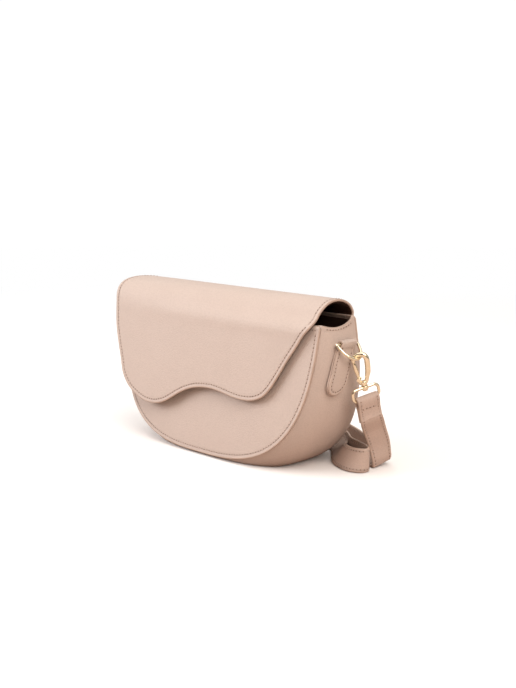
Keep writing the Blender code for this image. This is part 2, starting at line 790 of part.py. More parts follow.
def hang_point():
    """The point of the ring's wire that the hook hangs on, at its centre line."""
    reach = RING_REACH * sqrt(1 - (HOOK_SLIDE / ring_half()) ** 2)
    return BAR + Vector((sin(RING_TILT) * reach, HOOK_SLIDE, -cos(RING_TILT) * reach))


def hook_matrix(hand):
    """Origin on the ring's wire, Z back up the hook, X away from the bag."""
    up = -Vector(HOOK_LEAN_SHARES).normalized()
    out = Vector(HOOK_OUT_SHARES)
    out = (out - up * out.dot(up)).normalized()
    up, out = mirrored(up, hand), mirrored(out, hand)
    turn = Matrix((out, up.cross(out), up)).transposed().to_4x4()
    return Matrix.Translation(mirrored(hang_point(), hand)) @ turn


def hook_path():
    """The bent wire of the hook, from the horn beside the gate round to the tip."""
    top = RING_WIRE + HOOK_CLEARANCE + HOOK_WIRE - HOOK_BEND
    line = [(-GATE_PIVOT_OFFSET, -HORN_DROP)]
    line += [(x * HOOK_BEND, z * HOOK_YOKE_DROP) for x, z in HOOK_BACK_SHARES]
    line.append((HOOK_BEND, top))
    for k in range(1, 12):
        angle = pi * k / 12
        line.append((HOOK_BEND * cos(angle), top + HOOK_BEND * sin(angle)))
    line.append((-HOOK_BEND, top))
    line.append((-HOOK_BEND, -HOOK_TIP_DROP))
    return [Vector((x, 0.0, z)) for x, z in line]


def build_hook(name, hand):
    pivot = empty_at(name + "_tilt", None, hook_matrix(hand))
    data = tube_data(hook_path(), HOOK_WIRE, WIRE_SIDES, False, (0.0, 1.0, 0.0))
    hook = turn_outward(add_object(name, *data, gold(name + "_gold"), None, pivot))
    stem = cylinder_data(STEM_RADIUS, head_low() - STEM_HEAD_THICKNESS / 2, -HOOK_YOKE_DROP, SMALL_SIDES)
    combine(hook, helper(name + "_stem", stem, pivot), "UNION")
    head = cylinder_data(STEM_HEAD_RADIUS, head_low() - STEM_HEAD_THICKNESS, head_low(), SMALL_SIDES)
    combine(hook, helper(name + "_head", head, pivot), "UNION")
    knuckle = (-GATE_PIVOT_OFFSET, 0.0, -GATE_PIVOT_DROP)
    lug = cylinder_data(LUG_RADIUS, -LUG_HALF_WIDTH, LUG_HALF_WIDTH, SMALL_SIDES, "Y", knuckle)
    combine(hook, helper(name + "_lug", lug, pivot), "UNION")
    inset = LUG_RADIUS * LUG_FOOT_SHARE
    depth = LUG_HALF_WIDTH * LUG_FOOT_SHARE
    block = box_data(
        (knuckle[0] - inset, -depth, knuckle[2] - LUG_HEIGHT),
        (knuckle[0] + inset, depth, knuckle[2]),
    )
    combine(hook, helper(name + "_lug_foot", block, pivot), "UNION")
    slot_half = GATE_RADIUS + GATE_SIDE_CLEARANCE
    reach = LUG_RADIUS + CUT_OVERRUN
    slot = box_data(
        (knuckle[0] - reach, -slot_half, knuckle[2] - GATE_EYE_RADIUS - STEM_CLEARANCE),
        (knuckle[0] + reach, slot_half, knuckle[2] + reach),
    )
    combine(hook, helper(name + "_slot", slot, pivot), "DIFFERENCE")
    eye = cylinder_data(
        GATE_PIN_RADIUS + GATE_PIN_CLEARANCE,
        -LUG_HALF_WIDTH - CUT_OVERRUN,
        LUG_HALF_WIDTH + CUT_OVERRUN,
        SMALL_SIDES,
        "Y",
        knuckle,
    )
    combine(hook, helper(name + "_pin_hole", eye, pivot), "DIFFERENCE")
    return pivot


def build_gate(name, pin_name, hook_pivot):
    """The gate stands on its pin between the lugs and closes the hook's mouth."""
    knuckle = Vector((-GATE_PIVOT_OFFSET, 0.0, -GATE_PIVOT_DROP))
    to_tip = Vector((-HOOK_BEND, 0.0, -HOOK_TIP_DROP)) - knuckle
    lean = Matrix.Rotation(atan2(to_tip.x, to_tip.z), 4, "Y")
    place = hook_pivot.matrix_world @ Matrix.Translation(knuckle) @ lean
    pivot = empty_at(name + "_pivot", None, place)
    high = to_tip.length - GATE_TIP_CLEARANCE
    data = cylinder_data(GATE_RADIUS, 0.0, high, SMALL_SIDES)
    gate = turn_outward(add_object(name, *data, gold(name + "_gold"), None, pivot))
    eye = cylinder_data(GATE_EYE_RADIUS, -GATE_RADIUS, GATE_RADIUS, SMALL_SIDES, "Y")
    combine(gate, helper(name + "_eye", eye, pivot), "UNION")
    hole_radius = GATE_PIN_RADIUS + GATE_PIN_CLEARANCE
    hole_half = GATE_RADIUS + CUT_OVERRUN
    hole = cylinder_data(hole_radius, -hole_half, hole_half, SMALL_SIDES, "Y")
    combine(gate, helper(name + "_hole", hole, pivot), "DIFFERENCE")
    pin = cylinder_data(GATE_PIN_RADIUS, -LUG_HALF_WIDTH, LUG_HALF_WIDTH, SMALL_SIDES, "Y")
    turn_outward(add_object(pin_name, *pin, gold(pin_name + "_gold"), None, pivot))


def boss_high():
    return -HOOK_YOKE_DROP - HOOK_WIRE - STEM_CLEARANCE


def head_low():
    """The underside of the boss, less its clearance: the top of the stem's head."""
    return boss_high() - BOSS_HEIGHT - STEM_CLEARANCE


def loop_top():
    return boss_high() - BOSS_HEIGHT / 2


def loop_bar():
    return loop_top() - LOOP_HEIGHT - 2 * LOOP_WIRE


def loop_matrix(hand):
    """Origin and Z of the hook's frame, X along the loop's width, towards the back."""
    frame = hook_matrix(hand)
    up = frame.to_3x3() @ Vector((0.0, 0.0, 1.0))
    wide = mirrored(LOOP_WIDE_SHARES, hand)
    wide = (wide - up * wide.dot(up)).normalized()
    turn = Matrix((wide, up.cross(wide), up)).transposed().to_4x4()
    return Matrix.Translation(frame.translation) @ turn


def build_loop(name, hand):
    """A wide loop of wire under the hook. Its boss turns on the hook's headed stem."""
    pivot = empty_at(name + "_turn", None, loop_matrix(hand))
    half = STRAP_WIDTH / 2 + LOOP_SIDE_CLEARANCE + LOOP_WIRE
    top, bar = loop_top(), loop_bar()
    corners = [(half, top, 0), (half, bar, 1), (-half, bar, 2), (-half, top, 3)]
    path = []
    for x, z, quarter in corners:
        centre = Vector((x - LOOP_CORNER * (1 if x > 0 else -1), 0.0, z - LOOP_CORNER * (1 if z == top else -1)))
        for k in range(LOOP_CORNER_STEPS + 1):
            angle = pi / 2 * (1 - quarter - k / LOOP_CORNER_STEPS)
            path.append(centre + Vector((cos(angle), 0.0, sin(angle))) * LOOP_CORNER)
    data = tube_data(path, LOOP_WIRE, WIRE_SIDES, True, (0.0, 1.0, 0.0))
    loop = turn_outward(add_object(name, *data, gold(name + "_gold"), None, pivot))
    boss = cylinder_data(BOSS_RADIUS, boss_high() - BOSS_HEIGHT, boss_high(), TURNED_SIDES)
    combine(loop, helper(name + "_boss", boss, pivot), "UNION")
    bore = cylinder_data(
        STEM_RADIUS + STEM_CLEARANCE,
        boss_high() - BOSS_HEIGHT - CUT_OVERRUN,
        boss_high() + CUT_OVERRUN,
        TURNED_SIDES,
    )
    combine(loop, helper(name + "_bore", bore, pivot), "DIFFERENCE")


# The strap


def strap_end(hand):
    """Stations of the folded end on one side, from the tail's tip over the bar and down."""
    frame = loop_matrix(hand)
    turn = frame.to_3x3()
    wide = turn @ Vector((1.0, 0.0, 0.0))
    down = turn @ Vector((0.0, 0.0, -1.0))
    bar = frame @ Vector((0.0, 0.0, loop_bar()))
    out = wide.cross(down)
    out = out if out.x * hand > 0 else -out
    bend = LOOP_WIRE + HOOK_CLEARANCE + STRAP_THICKNESS / 2
    close = (STRAP_THICKNESS + STRAP_LAYER_GAP) / 2
    legs = [(STRAP_TAIL * along, close + (bend - close) * open_share) for along, open_share in STRAP_TAIL_SHARES]
    line = [(-side, along) for along, side in legs]
    for k in range(9):
        angle = pi - pi * k / 8
        line.append((bend * cos(angle), -bend * sin(angle)))
    line += [(side, along) for along, side in reversed(legs)]
    return [(bar + out * a + down * b, wide) for a, b in line]


def strap_stations():
    """Centre and width direction all along the strap, from the right tail to the left one."""
    half_depth = BOTTOM_DEPTH / 2
    ends = {}
    for hand in (1, -1):
        rise = []
        for x, y, z, wide in reversed(STRAP_FOOT_SHARES):
            centre = Vector((x * HALF_WIDTH * hand, y * half_depth, z * STRAP_WIDTH))
            rise.append((centre, mirrored(wide, hand).normalized()))
        ends[hand] = strap_end(hand) + rise
    lay = []
    for x, y, wide in STRAP_LAY_SHARES:
        wide = Vector(wide).normalized()
        flat = sqrt(max(0.0, 1 - wide.z**2))
        z = STRAP_FLOOR_GAP + STRAP_WIDTH / 2 * abs(wide.z) + STRAP_THICKNESS / 2 * flat
        lay.append((Vector((x * HALF_WIDTH, y * half_depth, z)), wide))
    return ends[1] + lay + list(reversed(ends[-1]))


def smooth_through(stations):
    """Catmull-Rom points through the stations, spaced by about one strap step."""
    made = []
    last = len(stations) - 1
    for i in range(last):
        four = [stations[min(max(i + k, 0), last)] for k in (-1, 0, 1, 2)]
        length = (four[2][0] - four[1][0]).length
        steps = max(1, round(length / STRAP_STEP))
        for k in range(steps):
            t = k / steps
            mixed = []
            for part in (0, 1):
                a, b, c, d = (f[part] for f in four)
                mixed.append(
                    (b * 2 + (c - a) * t + (a * 2 - b * 5 + c * 4 - d) * t**2 + (b * 3 - a - c * 3 + d) * t**3) / 2
                )
            made.append((mixed[0], mixed[1].normalized()))
    made.append(stations[-1])
    return made


def build_strap():
    line = smooth_through(strap_stations())
    stations = []
    length = 0.0
    for i, (centre, wide) in enumerate(line):
        before = line[max(i - 1, 0)][0]
        after = line[min(i + 1, len(line) - 1)][0]
        along = (after - before).normalized()
        wide = (wide - along * wide.dot(along)).normalized()
        normal = along.cross(wide)
        half = wide * (STRAP_WIDTH / 2)
        low = centre.z - abs(half.z) - abs(normal.z) * STRAP_THICKNESS / 2 - STRAP_FLOOR_GAP
        settled = max(0.0, low) ** 2 / STRAP_SETTLE if low < STRAP_SETTLE else low
        stations.append((centre + Vector((0.0, 0.0, settled - low)), half, normal))
        length += (centre - before).length
    turn_outward(
        add_object(
            "strap",
            *strip_data(stations, STRAP_THICKNESS),
            material("strap_leather", STRAP_BLUSH, 0.6, 0.0),
        )
    )
    print(f"strap length with its folded ends: {length:.3f} m")


def main():
    clear_scene()
    material("helper", STEEL, 0.5, 0.0)
    build_panels()
    build_gusset()
    build_gusset_lining()
    build_pocket()
    hinge = build_flap()
    build_snap(hinge)
    for word, hand in (("right", 1), ("left", -1)):
        build_tab("tab_" + word, hand)
        build_ring("ring_" + word, hand)
        hook_pivot = build_hook("hook_" + word, hand)
        build_gate("hook_gate_" + word, "gate_pin_" + word, hook_pivot)
        build_loop("swivel_loop_" + word, hand)
    build_strap()


main()
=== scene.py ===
"""Looks for the shoulder bag: leather, lining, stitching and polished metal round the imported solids.

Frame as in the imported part: +X to the right of the front, -Y out of the front, +Z up, in metres.
"""

import json
from math import asin, atan2, cos, pi, radians, sin, sqrt

import bpy
import numpy as np
from mathutils import Matrix, Vector
from mathutils.geometry import delaunay_2d_cdt


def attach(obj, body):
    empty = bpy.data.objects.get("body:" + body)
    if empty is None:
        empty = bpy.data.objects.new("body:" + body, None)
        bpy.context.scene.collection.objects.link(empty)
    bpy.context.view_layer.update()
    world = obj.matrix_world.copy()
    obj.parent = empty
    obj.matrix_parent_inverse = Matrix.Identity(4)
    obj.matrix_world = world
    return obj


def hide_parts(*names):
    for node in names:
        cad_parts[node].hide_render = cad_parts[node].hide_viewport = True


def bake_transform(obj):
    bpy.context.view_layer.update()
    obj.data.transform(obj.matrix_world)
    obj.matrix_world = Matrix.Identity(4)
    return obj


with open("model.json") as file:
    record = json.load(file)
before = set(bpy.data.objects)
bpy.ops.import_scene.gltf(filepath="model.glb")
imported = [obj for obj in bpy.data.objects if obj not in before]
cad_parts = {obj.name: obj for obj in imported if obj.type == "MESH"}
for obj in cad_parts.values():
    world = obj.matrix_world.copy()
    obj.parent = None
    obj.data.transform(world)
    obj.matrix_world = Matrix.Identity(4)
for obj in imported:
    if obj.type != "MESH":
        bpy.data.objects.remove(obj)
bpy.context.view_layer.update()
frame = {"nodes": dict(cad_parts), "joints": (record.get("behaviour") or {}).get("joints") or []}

# Camera, at the photograph's angle
AZIMUTH = radians(46.0)
ELEVATION = radians(9.7)
DISTANCE = 1.0315
AIM_RIGHT = 0.0194
AIM_UP = 0.0924
AIM_LIFT = 0.0023
FOCAL_PIXELS = 1100.0
IMAGE_HEIGHT_PIXELS = 688
SENSOR_MM = 36.0

# Body, as in the solids
HALF_WIDTH = 0.125
BODY_HEIGHT = 0.126
BACK_RISE = 0.005
SEAM_LIFT = 0.0023
TOP_DEPTH = 0.046
BOTTOM_DEPTH = 0.096
GUSSET_BULGE = 0.0145
GUSSET_TOP_SAG = 0.0045
FLANGE_WIDTH = 0.008
PANEL_LEATHER = 0.0020
GUSSET_LEATHER = 0.0018
LINING = 0.0008
LINING_INSET = 0.0024
LINING_TOP_DROP = 0.0030
LINING_EASE = 0.0016
SEAM_GAP = 0.0003
OUTLINE_POWER = 0.69
BULGE_FADE = 0.8
BULGE_POWER = 4.0
SAG_START = 0.8
PANEL_CORNER = 0.003
PANEL_PUFF = 0.0007
# A sewn face's swell starts at the stitches: its reach inward and its power
SWELL_REACH = 0.012
SWELL_POWER = 1.4

# Flap, as in the solids
FLAP_RISE = 0.0204
FLAP_LEATHER = 0.0020
FLAP_LINING = 0.0008
FLAP_STANDOFF_RIGHT = 0.0056
FLAP_STANDOFF_LEFT = 0.0118
FLAP_BAND_DROP = 0.0030
FLAP_PUFF = 0.0002
FLAP_CORNER = 0.005
FLAP_LEFT_TAPER = 0.99
# Where the straight front starts, as a share of the body's height, and the line's steps in each span
FLAP_FRONT_SHARE = 0.98
FLAP_SPAN_STEPS = 12
# From the hinge to the start and end of the reach given with the flap's pieces, down the back and the other
# way
FLAP_BEND = np.array((0.0, 0.0035, -0.0026))
FLAP_ARCH_SHARES = [
    (1.19, 0.34), (1.13, 0.50), (0.98, 0.71), (0.68, 0.90), (0.33, 0.98), (-0.05, 0.95), (-0.40, 0.82),
    (-0.76, 0.56), (-1.02, 0.26),
]
FLAP_EDGE_SHARES = [
    (0.948, 0.990), (0.895, 0.924), (0.842, 0.836), (0.787, 0.750), (0.738, 0.660), (0.668, 0.549),
    (0.605, 0.487), (0.525, 0.456), (0.449, 0.446), (0.350, 0.448), (0.246, 0.463), (0.110, 0.478),
    (-0.014, 0.471), (-0.116, 0.449), (-0.216, 0.406), (-0.314, 0.348), (-0.395, 0.307), (-0.471, 0.288),
    (-0.540, 0.285), (-0.613, 0.293), (-0.713, 0.326), (-0.808, 0.374), (-0.893, 0.460), (-0.942, 0.570),
    (-1.000, 0.690), (-1.055, 0.830), (-1.085, 0.980),
]
# The same section at the flap's fuller left side
FLAP_ARCH_LEFT_SHARES = [
    (1.19, 0.34), (1.13, 0.52), (0.98, 0.75), (0.66, 0.93), (0.22, 1.00), (-0.28, 1.00), (-0.72, 0.90),
    (-1.06, 0.66), (-1.25, 0.32),
]
# The flap's left side over the mouth: distance back from the front top edge, and x as a share
FLAP_LEFT_SHARES = [
    (0.012, -1.108), (0.024, -1.126), (0.040, -1.128), (0.054, -1.105), (0.068, -1.035), (0.082, -0.960),
]
# The sewn part of the flap, down the back of the bag: drop below the hinge and stand-off
FLAP_HEM = [(0.018, 0.0024), (0.012, 0.0025), (0.006, 0.0029)]
LINING_HEM = 0.0040

# Slip pocket
POCKET_HALF_WIDTH = 0.065
POCKET_LOW = 0.0277
POCKET_HIGH = 0.0932
POCKET_STITCH_INSET = 0.003
POCKET_CORNER = 0.004

HANDS = (("right", 1), ("left", -1))

# Side tabs
TAB_WIDTH = 0.0220
TAB_LENGTH = 0.0420
TAB_LEATHER = 0.0016
TAB_DROP = 0.0155
TAB_OFFSET = 0.0020
TAB_SLANT = 0.0160
TAB_SLANT_POWER = 0.8
TAB_FOLD_SHARE = 0.86
TAB_CLEARANCE = 0.0004
TAB_CLOSING = 5.0
TAB_WIDENING = 3.0
TAB_PUFF = 0.00025

# Rings, hooks and loops
RING_WIRE = 0.0013
RING_REACH = 0.0165
RING_SIDE_CLEARANCE = 0.0015
RING_TILT = radians(45)
RING_BAR_SHARE = 0.93
HOOK_WIRE = 0.0017
HOOK_SPINE = 0.0023
# Along the hook as shares of its length: where the fuller spine starts and ends, and over how much
SPINE_START = (0.22, 0.15)
SPINE_END = (0.80, 0.12)
HOOK_TIP_SHARE = 0.80
HOOK_TIP_STEEPNESS = 3.0
HOOK_BEND = 0.0054
HOOK_CLEARANCE = 0.00035
HOOK_YOKE_DROP = 0.0226
YOKE_RADIUS = 0.0026
YOKE_SPAN = (-0.0016, 0.0022)
YOKE_BEVEL = 0.0007
HOOK_TIP_DROP = 0.0033
HORN_DROP = 0.0204
GATE_PIVOT_DROP = 0.0186
GATE_PIVOT_OFFSET = 0.0034
GATE_RADIUS = 0.0011
GATE_FULLNESS = ((0.0, 0.25, 0.55, 0.9, 1.0), (0.95, 1.25, 1.60, 1.35, 1.0))
GATE_WIDTH = ((0.0, 0.25, 0.6, 1.0), (1.0, 0.9, 0.86, 0.95))
GATE_EYE_RADIUS = 0.0015
GATE_PIN_RADIUS = 0.0007
GATE_TIP_CLEARANCE = 0.00050
LUG_RADIUS = 0.0019
LUG_HALF_WIDTH = 0.0025
PIN_GAP = 0.0002
BEVEL = 0.0003
FINE_BEVEL = 0.0002
HOOK_LEAN = (0.04, 0.25, -0.967)
HOOK_OUT = (0.80, 0.60, 0.0)
HOOK_BACK_SHARES = [
    (-0.54, -0.965), (-0.28, -0.998), (0.06, -0.992), (0.35, -0.940), (0.60, -0.820), (0.80, -0.600),
    (0.94, -0.360), (1.00, -0.170),
]
LOOP_WIRE = 0.0013
LOOP_HEIGHT = 0.0080
LOOP_SIDE_CLEARANCE = 0.0005
LOOP_CORNER = 0.0040
LOOP_WIDE = (0.36, 0.90, 0.26)
BOSS_RADIUS = 0.0029
BOSS_HEIGHT = 0.0034
BOSS_BEVEL = 0.0005
STEM_RADIUS = 0.0013
STEM_CLEARANCE = 0.0003
STEM_HEAD_RADIUS = 0.0021
STEM_HEAD_THICKNESS = 0.0009
# Heights on the hook's own axis: the boss's upper face, the stem head's upper face, the loop's bar
BOSS_HIGH = -HOOK_YOKE_DROP - HOOK_WIRE - STEM_CLEARANCE
HEAD_LOW = BOSS_HIGH - BOSS_HEIGHT - STEM_CLEARANCE
LOOP_BAR = BOSS_HIGH - BOSS_HEIGHT / 2 - LOOP_HEIGHT - 2 * LOOP_WIRE

# Strap
STRAP_WIDTH = 0.0210
STRAP_THICKNESS = 0.0022
STRAP_TAIL = 0.0190
STRAP_LAYER_GAP = 0.0004
STRAP_FLOOR_GAP = 0.0002
STRAP_SETTLE = 0.0030
STRAP_STEP = 0.0020
STRAP_CROWN = 0.05
# How far above the loop's bar the top of the fold is looked for
FOLD_RISE = 0.003
STRAP_TAIL_SHARES = [
    (1.0, 0.0), (0.72, 0.0), (0.45, 0.0), (0.28, 0.56), (0.12, 1.0),
]
# x and y of the lying strap's middle, and its width's direction where that isn't upright
STRAP_LAY_SHARES = [
    (1.070, 0.917, (0.12, 0.96, 0.25)), (1.020, 1.000, (0.10, 0.74, 0.66)),
    (0.952, 1.062, (0.03, 0.30, 0.95)), (0.880, 1.146, (0.00, 0.04, 1.00)), (0.772, 1.302), (0.660, 1.448),
    (0.488, 1.635), (0.176, 1.844), (-0.160, 1.925), (-0.480, 1.904), (-0.680, 1.860), (-0.764, 1.790),
    (-0.808, 1.679), (-0.800, 1.560), (-0.744, 1.460), (-0.648, 1.400), (-0.480, 1.365), (-0.160, 1.346),
    (0.200, 1.321), (0.440, 1.271), (0.608, 1.188), (0.744, 1.042), (0.860, 0.792), (0.980, 0.667),
    (1.080, 0.560), (1.136, 0.442), (1.144, 0.321, (0.00, 0.10, 0.99)), (1.096, 0.238, (0.00, 0.25, 0.97)),
    (1.020, 0.242, (0.00, 0.40, 0.92)), (0.948, 0.317, (0.05, 0.45, 0.89)),
    (0.876, 0.438, (0.10, 0.60, 0.80)), (0.808, 0.635, (0.10, 0.78, 0.62)),
    (0.748, 0.833, (0.08, 0.80, 0.60)), (0.672, 0.996, (0.00, 0.60, 0.80)),
    (0.544, 1.090, (0.00, 0.20, 0.98)), (0.160, 1.121), (-0.320, 1.129), (-0.620, 1.160),
    (-0.776, 1.188, (0.00, 0.04, 1.00)), (-0.880, 1.188, (-0.03, 0.30, 0.95)),
    (-0.968, 1.115, (-0.10, 0.74, 0.66)), (-1.064, 0.958, (-0.12, 0.96, 0.25)),
]
STRAP_FOOT_SHARES = [
    (1.117, 0.854, 0.171, (0.20, 0.93, 0.30)), (1.133, 0.835, 0.295, (0.22, 0.91, 0.35)),
    (1.136, 0.812, 0.486, (0.22, 0.94, 0.25)), (1.130, 0.765, 1.005, (0.34, 0.92, 0.19)),
    (1.144, 0.588, 1.695, (0.34, 0.92, 0.18)),
]
# Lengths of the strap's stretches from the bar down: the rigid end, then one for each joint's turn
STRAP_STRETCHES = (0.0215, 0.010, 0.010, 0.105)
# The share of a stretch at each end left outside the reach given with it
STRAP_TRIM = 0.04

# Stitching
STITCH_PITCH = 0.0033
STITCH_LENGTH = 0.0022
THREAD_RADIUS = 0.00034
STITCH_SIDES = 8
# A stitch's length from middle to ends, and its girth there
STITCH_SHARES = np.array([-0.5, -0.46, -0.34, -0.14, 0.14, 0.34, 0.46, 0.5])
STITCH_GIRTH = np.array([0.05, 0.6, 0.95, 1.0, 1.0, 0.95, 0.6, 0.05]) * THREAD_RADIUS
# The thread stands proud in its middle and dives into the holes
STITCH_LIFT = (0.62 - 22.4 * STITCH_SHARES**4) * THREAD_RADIUS
HOLE_RADIUS = 0.00062
HOLE_PROUD = 0.00005
HOLE_SINK = 0.5
# Where two stitches' directions have a smaller product than this, the second is left out
SHARP_TURN = 0.80
STITCH_INSET = 0.0036
TAB_STITCH_INSET = 0.0028
TAB_STITCH_PITCH = 0.0030
TAB_CROSS_HALF = 0.0075
MOUTH_STITCH_INSET = 0.0018
MOUTH_STITCH_SHARES = np.linspace(-0.84, 0.84, 60)
STRAP_STITCH_INSET = 0.0026
STRAP_STITCH_RISE = 1.02
STRAP_CROSS_RISE = 1.05
STRAP_CROSS_HALF = 0.0072
STRAP_CROSS_DROP = 0.0105

# Fineness of the meshes
OUTLINE_STEP = 0.0020
PATCH_STEP = 0.0040
CLOTH_STEP = 0.006
CLOTH_KINDS = (0, 0, 0)
RING_RISE = 0.0006
RING_FREE = (0.0020, 0.0050)
RING_AROUND = (-0.0009, -0.0004, 0.0, 0.0004, 0.0009, 0.0026, 0.0056)
# The rings inside a cut edge are left out of pieces narrower than this share allows
RING_LIMIT = 0.4
LATTICE_GAP = 0.6
GROOVE_DEPTH = 0.00010
GROOVE_WIDTH = 0.0008
TAB_GROOVE_WIDTH = 0.0006
# The tab's stitches start this many fold radii from the middle of the fold
TAB_STITCH_START = 2.2
TAB_SWELL_REACH = 0.002
BEAD_STEPS = 6
EDGE_SQUARENESS = 0.55
RIM_REACH = 0.6
WIRE_SIDES = 24
TURNED_SIDES = 48

# Texture: size and depth of the leather's pebbles, its roughness, and the cloth's thread spacing
PEBBLE = 0.0011
PEBBLE_DEPTH = 0.00010
LEATHER_ROUGHNESS = 0.56
WEAVE_PITCH = 0.00055

# Colours, linear
BLUSH = (0.545, 0.438, 0.380)
BLUSH_DEEP = (0.522, 0.415, 0.358)
STRAP_COLOUR = (0.560, 0.425, 0.358)
EDGE_COLOUR = (0.500, 0.375, 0.305)
THREAD_COLOUR = (0.535, 0.420, 0.360)
# The stitch holes' colours are painted shade: dark spots for the shade inside each needle hole, fainter on
# the strap's edge rows
HOLE_SHADE_COLOUR = (0.200, 0.125, 0.090)
FAINT_HOLE_SHADE_COLOUR = (0.330, 0.225, 0.175)
LINING_COLOUR = (0.042, 0.014, 0.006)
SUEDE_COLOUR = (0.300, 0.190, 0.140)
GOLD_COLOUR = (0.950, 0.850, 0.640)
STEEL_COLOUR = (0.600, 0.600, 0.610)

# Studio: the floor, the room's light low and high, and the softboxes with place, size and watts
FLOOR_RADIUS = 2.4
FLOOR_FADE = (0.45, 1.3)
FLOOR_COLOUR = (0.97, 0.968, 0.965)
FLOOR_DEEP = (0.955, 0.952, 0.948)
FLOOR_BOUNCE = (0.62, 0.49, 0.42)
ROOM_LOW = 0.28
ROOM_HIGH = 0.80
ROOM_COLOUR = (1.0, 0.92, 0.85)
BACKDROP = 1.05
# The way towards the unlit end of the room, which the metal mirrors as dark bands
DARK_WALL = (0.72, -0.69, 0.0)
LIGHT_AIM = (0.0, 0.0, 0.07)
LIGHTS = [
    ("key", (-2.1, -1.9, 1.25), (2.0, 1.5), 70.0, (0.96, 1.0, 1.04)),
    ("top", (-0.1, -0.2, 2.0), (2.2, 1.8), 12.0, (1.0, 0.99, 0.98)),
    ("side", (1.7, -0.6, 1.4), (1.6, 1.4), 36.0, (1.0, 0.91, 0.84)),
]


# Materials


class Finish:
    """The nodes of one procedural material, or of the world."""

    def __init__(self, name, owner=None):
        self.material = owner or bpy.data.materials.new(name)
        self.material.use_nodes = True
        self.tree = self.material.node_tree
        self.shader = self.tree.nodes.get("Principled BSDF")

    def set(self, socket, value):
        if isinstance(value, bpy.types.NodeSocket):
            self.tree.links.new(value, socket)
        elif isinstance(value, tuple) and len(value) == 3 and len(socket.default_value) == 4:
            socket.default_value = (*value, 1.0)
        else:
            socket.default_value = value

    def surface(self, **values):
        for name, value in values.items():
            self.set(self.shader.inputs[name.replace("_", " ")], value)

    def add(self, kind, inputs=(), **settings):
        node = self.tree.nodes.new("ShaderNode" + kind)
        for name, value in settings.items():
            setattr(node, name, value)
        for key, value in dict(inputs).items():
            self.set(node.inputs[key], value)
        return node

    def where(self):
        return self.add("TexCoord").outputs["Object"]

    def flat(self):
        return self.add("UVMap").outputs[0]

    def math(self, operation, a, b=0.0):
        return self.add("Math", {0: a, 1: b}, operation=operation).outputs[0]

    def noise(self, vector, scale, detail=3.0, roughness=0.55):
        inputs = {"Vector": vector, "Scale": scale, "Detail": detail, "Roughness": roughness}
        return self.add("TexNoise", inputs).outputs["Fac"]

    def mix(self, share, a, b):
        return self.add("Mix", {0: share, 6: a, 7: b}, data_type="RGBA").outputs[2]

    def ramp(self, value, low, high, to_low=0.0, to_high=1.0):
        inputs = {0: value, 1: low, 2: high, 3: to_low, 4: to_high}
        return self.add("MapRange", inputs, interpolation_type="SMOOTHSTEP").outputs[0]

    def bump(self, height, distance, strength=1.0, normal=None):
        inputs = {"Height": height, "Distance": distance, "Strength": strength}
        if normal is not None:
            inputs["Normal"] = normal
        return self.add("Bump", inputs).outputs["Normal"]


def shade(colour, share):
    return tuple(c * share for c in colour)


def leather(name, colour, deep, seam=STITCH_INSET):
    """Grained leather. Its edge attribute gives the distance to the nearest edge of the piece."""
    f = Finish(name)
    uv = f.flat()
    edge = f.add("Attribute", attribute_name="edge").outputs["Fac"]
    warp = f.add("TexNoise", {"Vector": uv, "Scale": 0.35 / PEBBLE, "Detail": 2.0}).outputs["Color"]
    shift = f.add("VectorMath", {0: warp, "Scale": PEBBLE * 1.6}, operation="SCALE").outputs[0]
    where = f.add("VectorMath", {0: uv, 1: shift}, operation="ADD").outputs[0]
    inputs = {"Vector": where, "Scale": 1.0 / PEBBLE, "Smoothness": 0.55}
    cells = f.add("TexVoronoi", inputs, feature="SMOOTH_F1").outputs["Distance"]
    pebble = f.ramp(cells, 0.10, 0.75, 1.0, 0.0)
    fine = f.noise(uv, 5.0 / PEBBLE, 4.0, 0.65)
    broad = f.noise(uv, 26.0, 3.0)
    middle = f.noise(uv, 150.0, 4.0)
    tone = f.math("ADD", f.math("MULTIPLY", broad, 0.65), f.math("MULTIPLY", middle, 0.35))
    body = f.mix(f.ramp(tone, 0.25, 0.75), deep, colour)
    valley = shade(deep, 0.80)
    body = f.mix(f.ramp(pebble, 0.0, 0.45, 0.22, 0.0), body, valley)
    # The stitch groove is darkened a little as painted shade, besides being sunk in the bump below
    groove = f.math("ABSOLUTE", f.math("SUBTRACT", edge, seam))
    groove = f.ramp(groove, 0.0002, 0.0013, 1.0, 0.0)
    body = f.mix(f.math("MULTIPLY", groove, 0.10), body, valley)
    body = f.mix(f.ramp(edge, 0.0, 0.0016, 0.45, 0.0), body, shade(colour, 1.10))
    height = f.math("ADD", f.math("MULTIPLY", pebble, 0.8), f.math("MULTIPLY", fine, 0.35))
    height = f.math("SUBTRACT", height, f.math("MULTIPLY", groove, 0.5))
    hollow = f.ramp(pebble, 0.0, 1.0, LEATHER_ROUGHNESS + 0.08, LEATHER_ROUGHNESS)
    rough = f.math("ADD", f.ramp(middle, 0.3, 0.7, -0.05, 0.05), hollow)
    f.surface(Base_Color=body, Roughness=rough, Normal=f.bump(height, PEBBLE_DEPTH))
    f.surface(Specular_IOR_Level=0.38, Sheen_Weight=0.10, Sheen_Roughness=0.5)
    return f.material


def edge_paint(name, colour):
    """Smooth painted leather edge, with a few soft lumps."""
    f = Finish(name)
    where = f.where()
    lumps = f.noise(where, 420.0, 3.0)
    body = f.mix(f.ramp(f.noise(where, 60.0, 2.0), 0.3, 0.7), shade(colour, 0.90), colour)
    rough = f.ramp(lumps, 0.3, 0.7, 0.36, 0.48)
    f.surface(Base_Color=body, Roughness=rough, Normal=f.bump(lumps, 0.00012, 0.6))
    return f.material


def thread(name, colour):
    """Waxed twisted thread."""
    f = Finish(name)
    inputs = {"Vector": f.where(), "Scale": 900.0, "Distortion": 1.5, "Detail": 1.0}
    twist = f.add("TexWave", inputs, bands_direction="DIAGONAL").outputs["Fac"]
    body = f.mix(twist, shade(colour, 0.78), colour)
    f.surface(Base_Color=body, Roughness=0.50, Normal=f.bump(twist, 0.00008, 0.7))
    return f.material


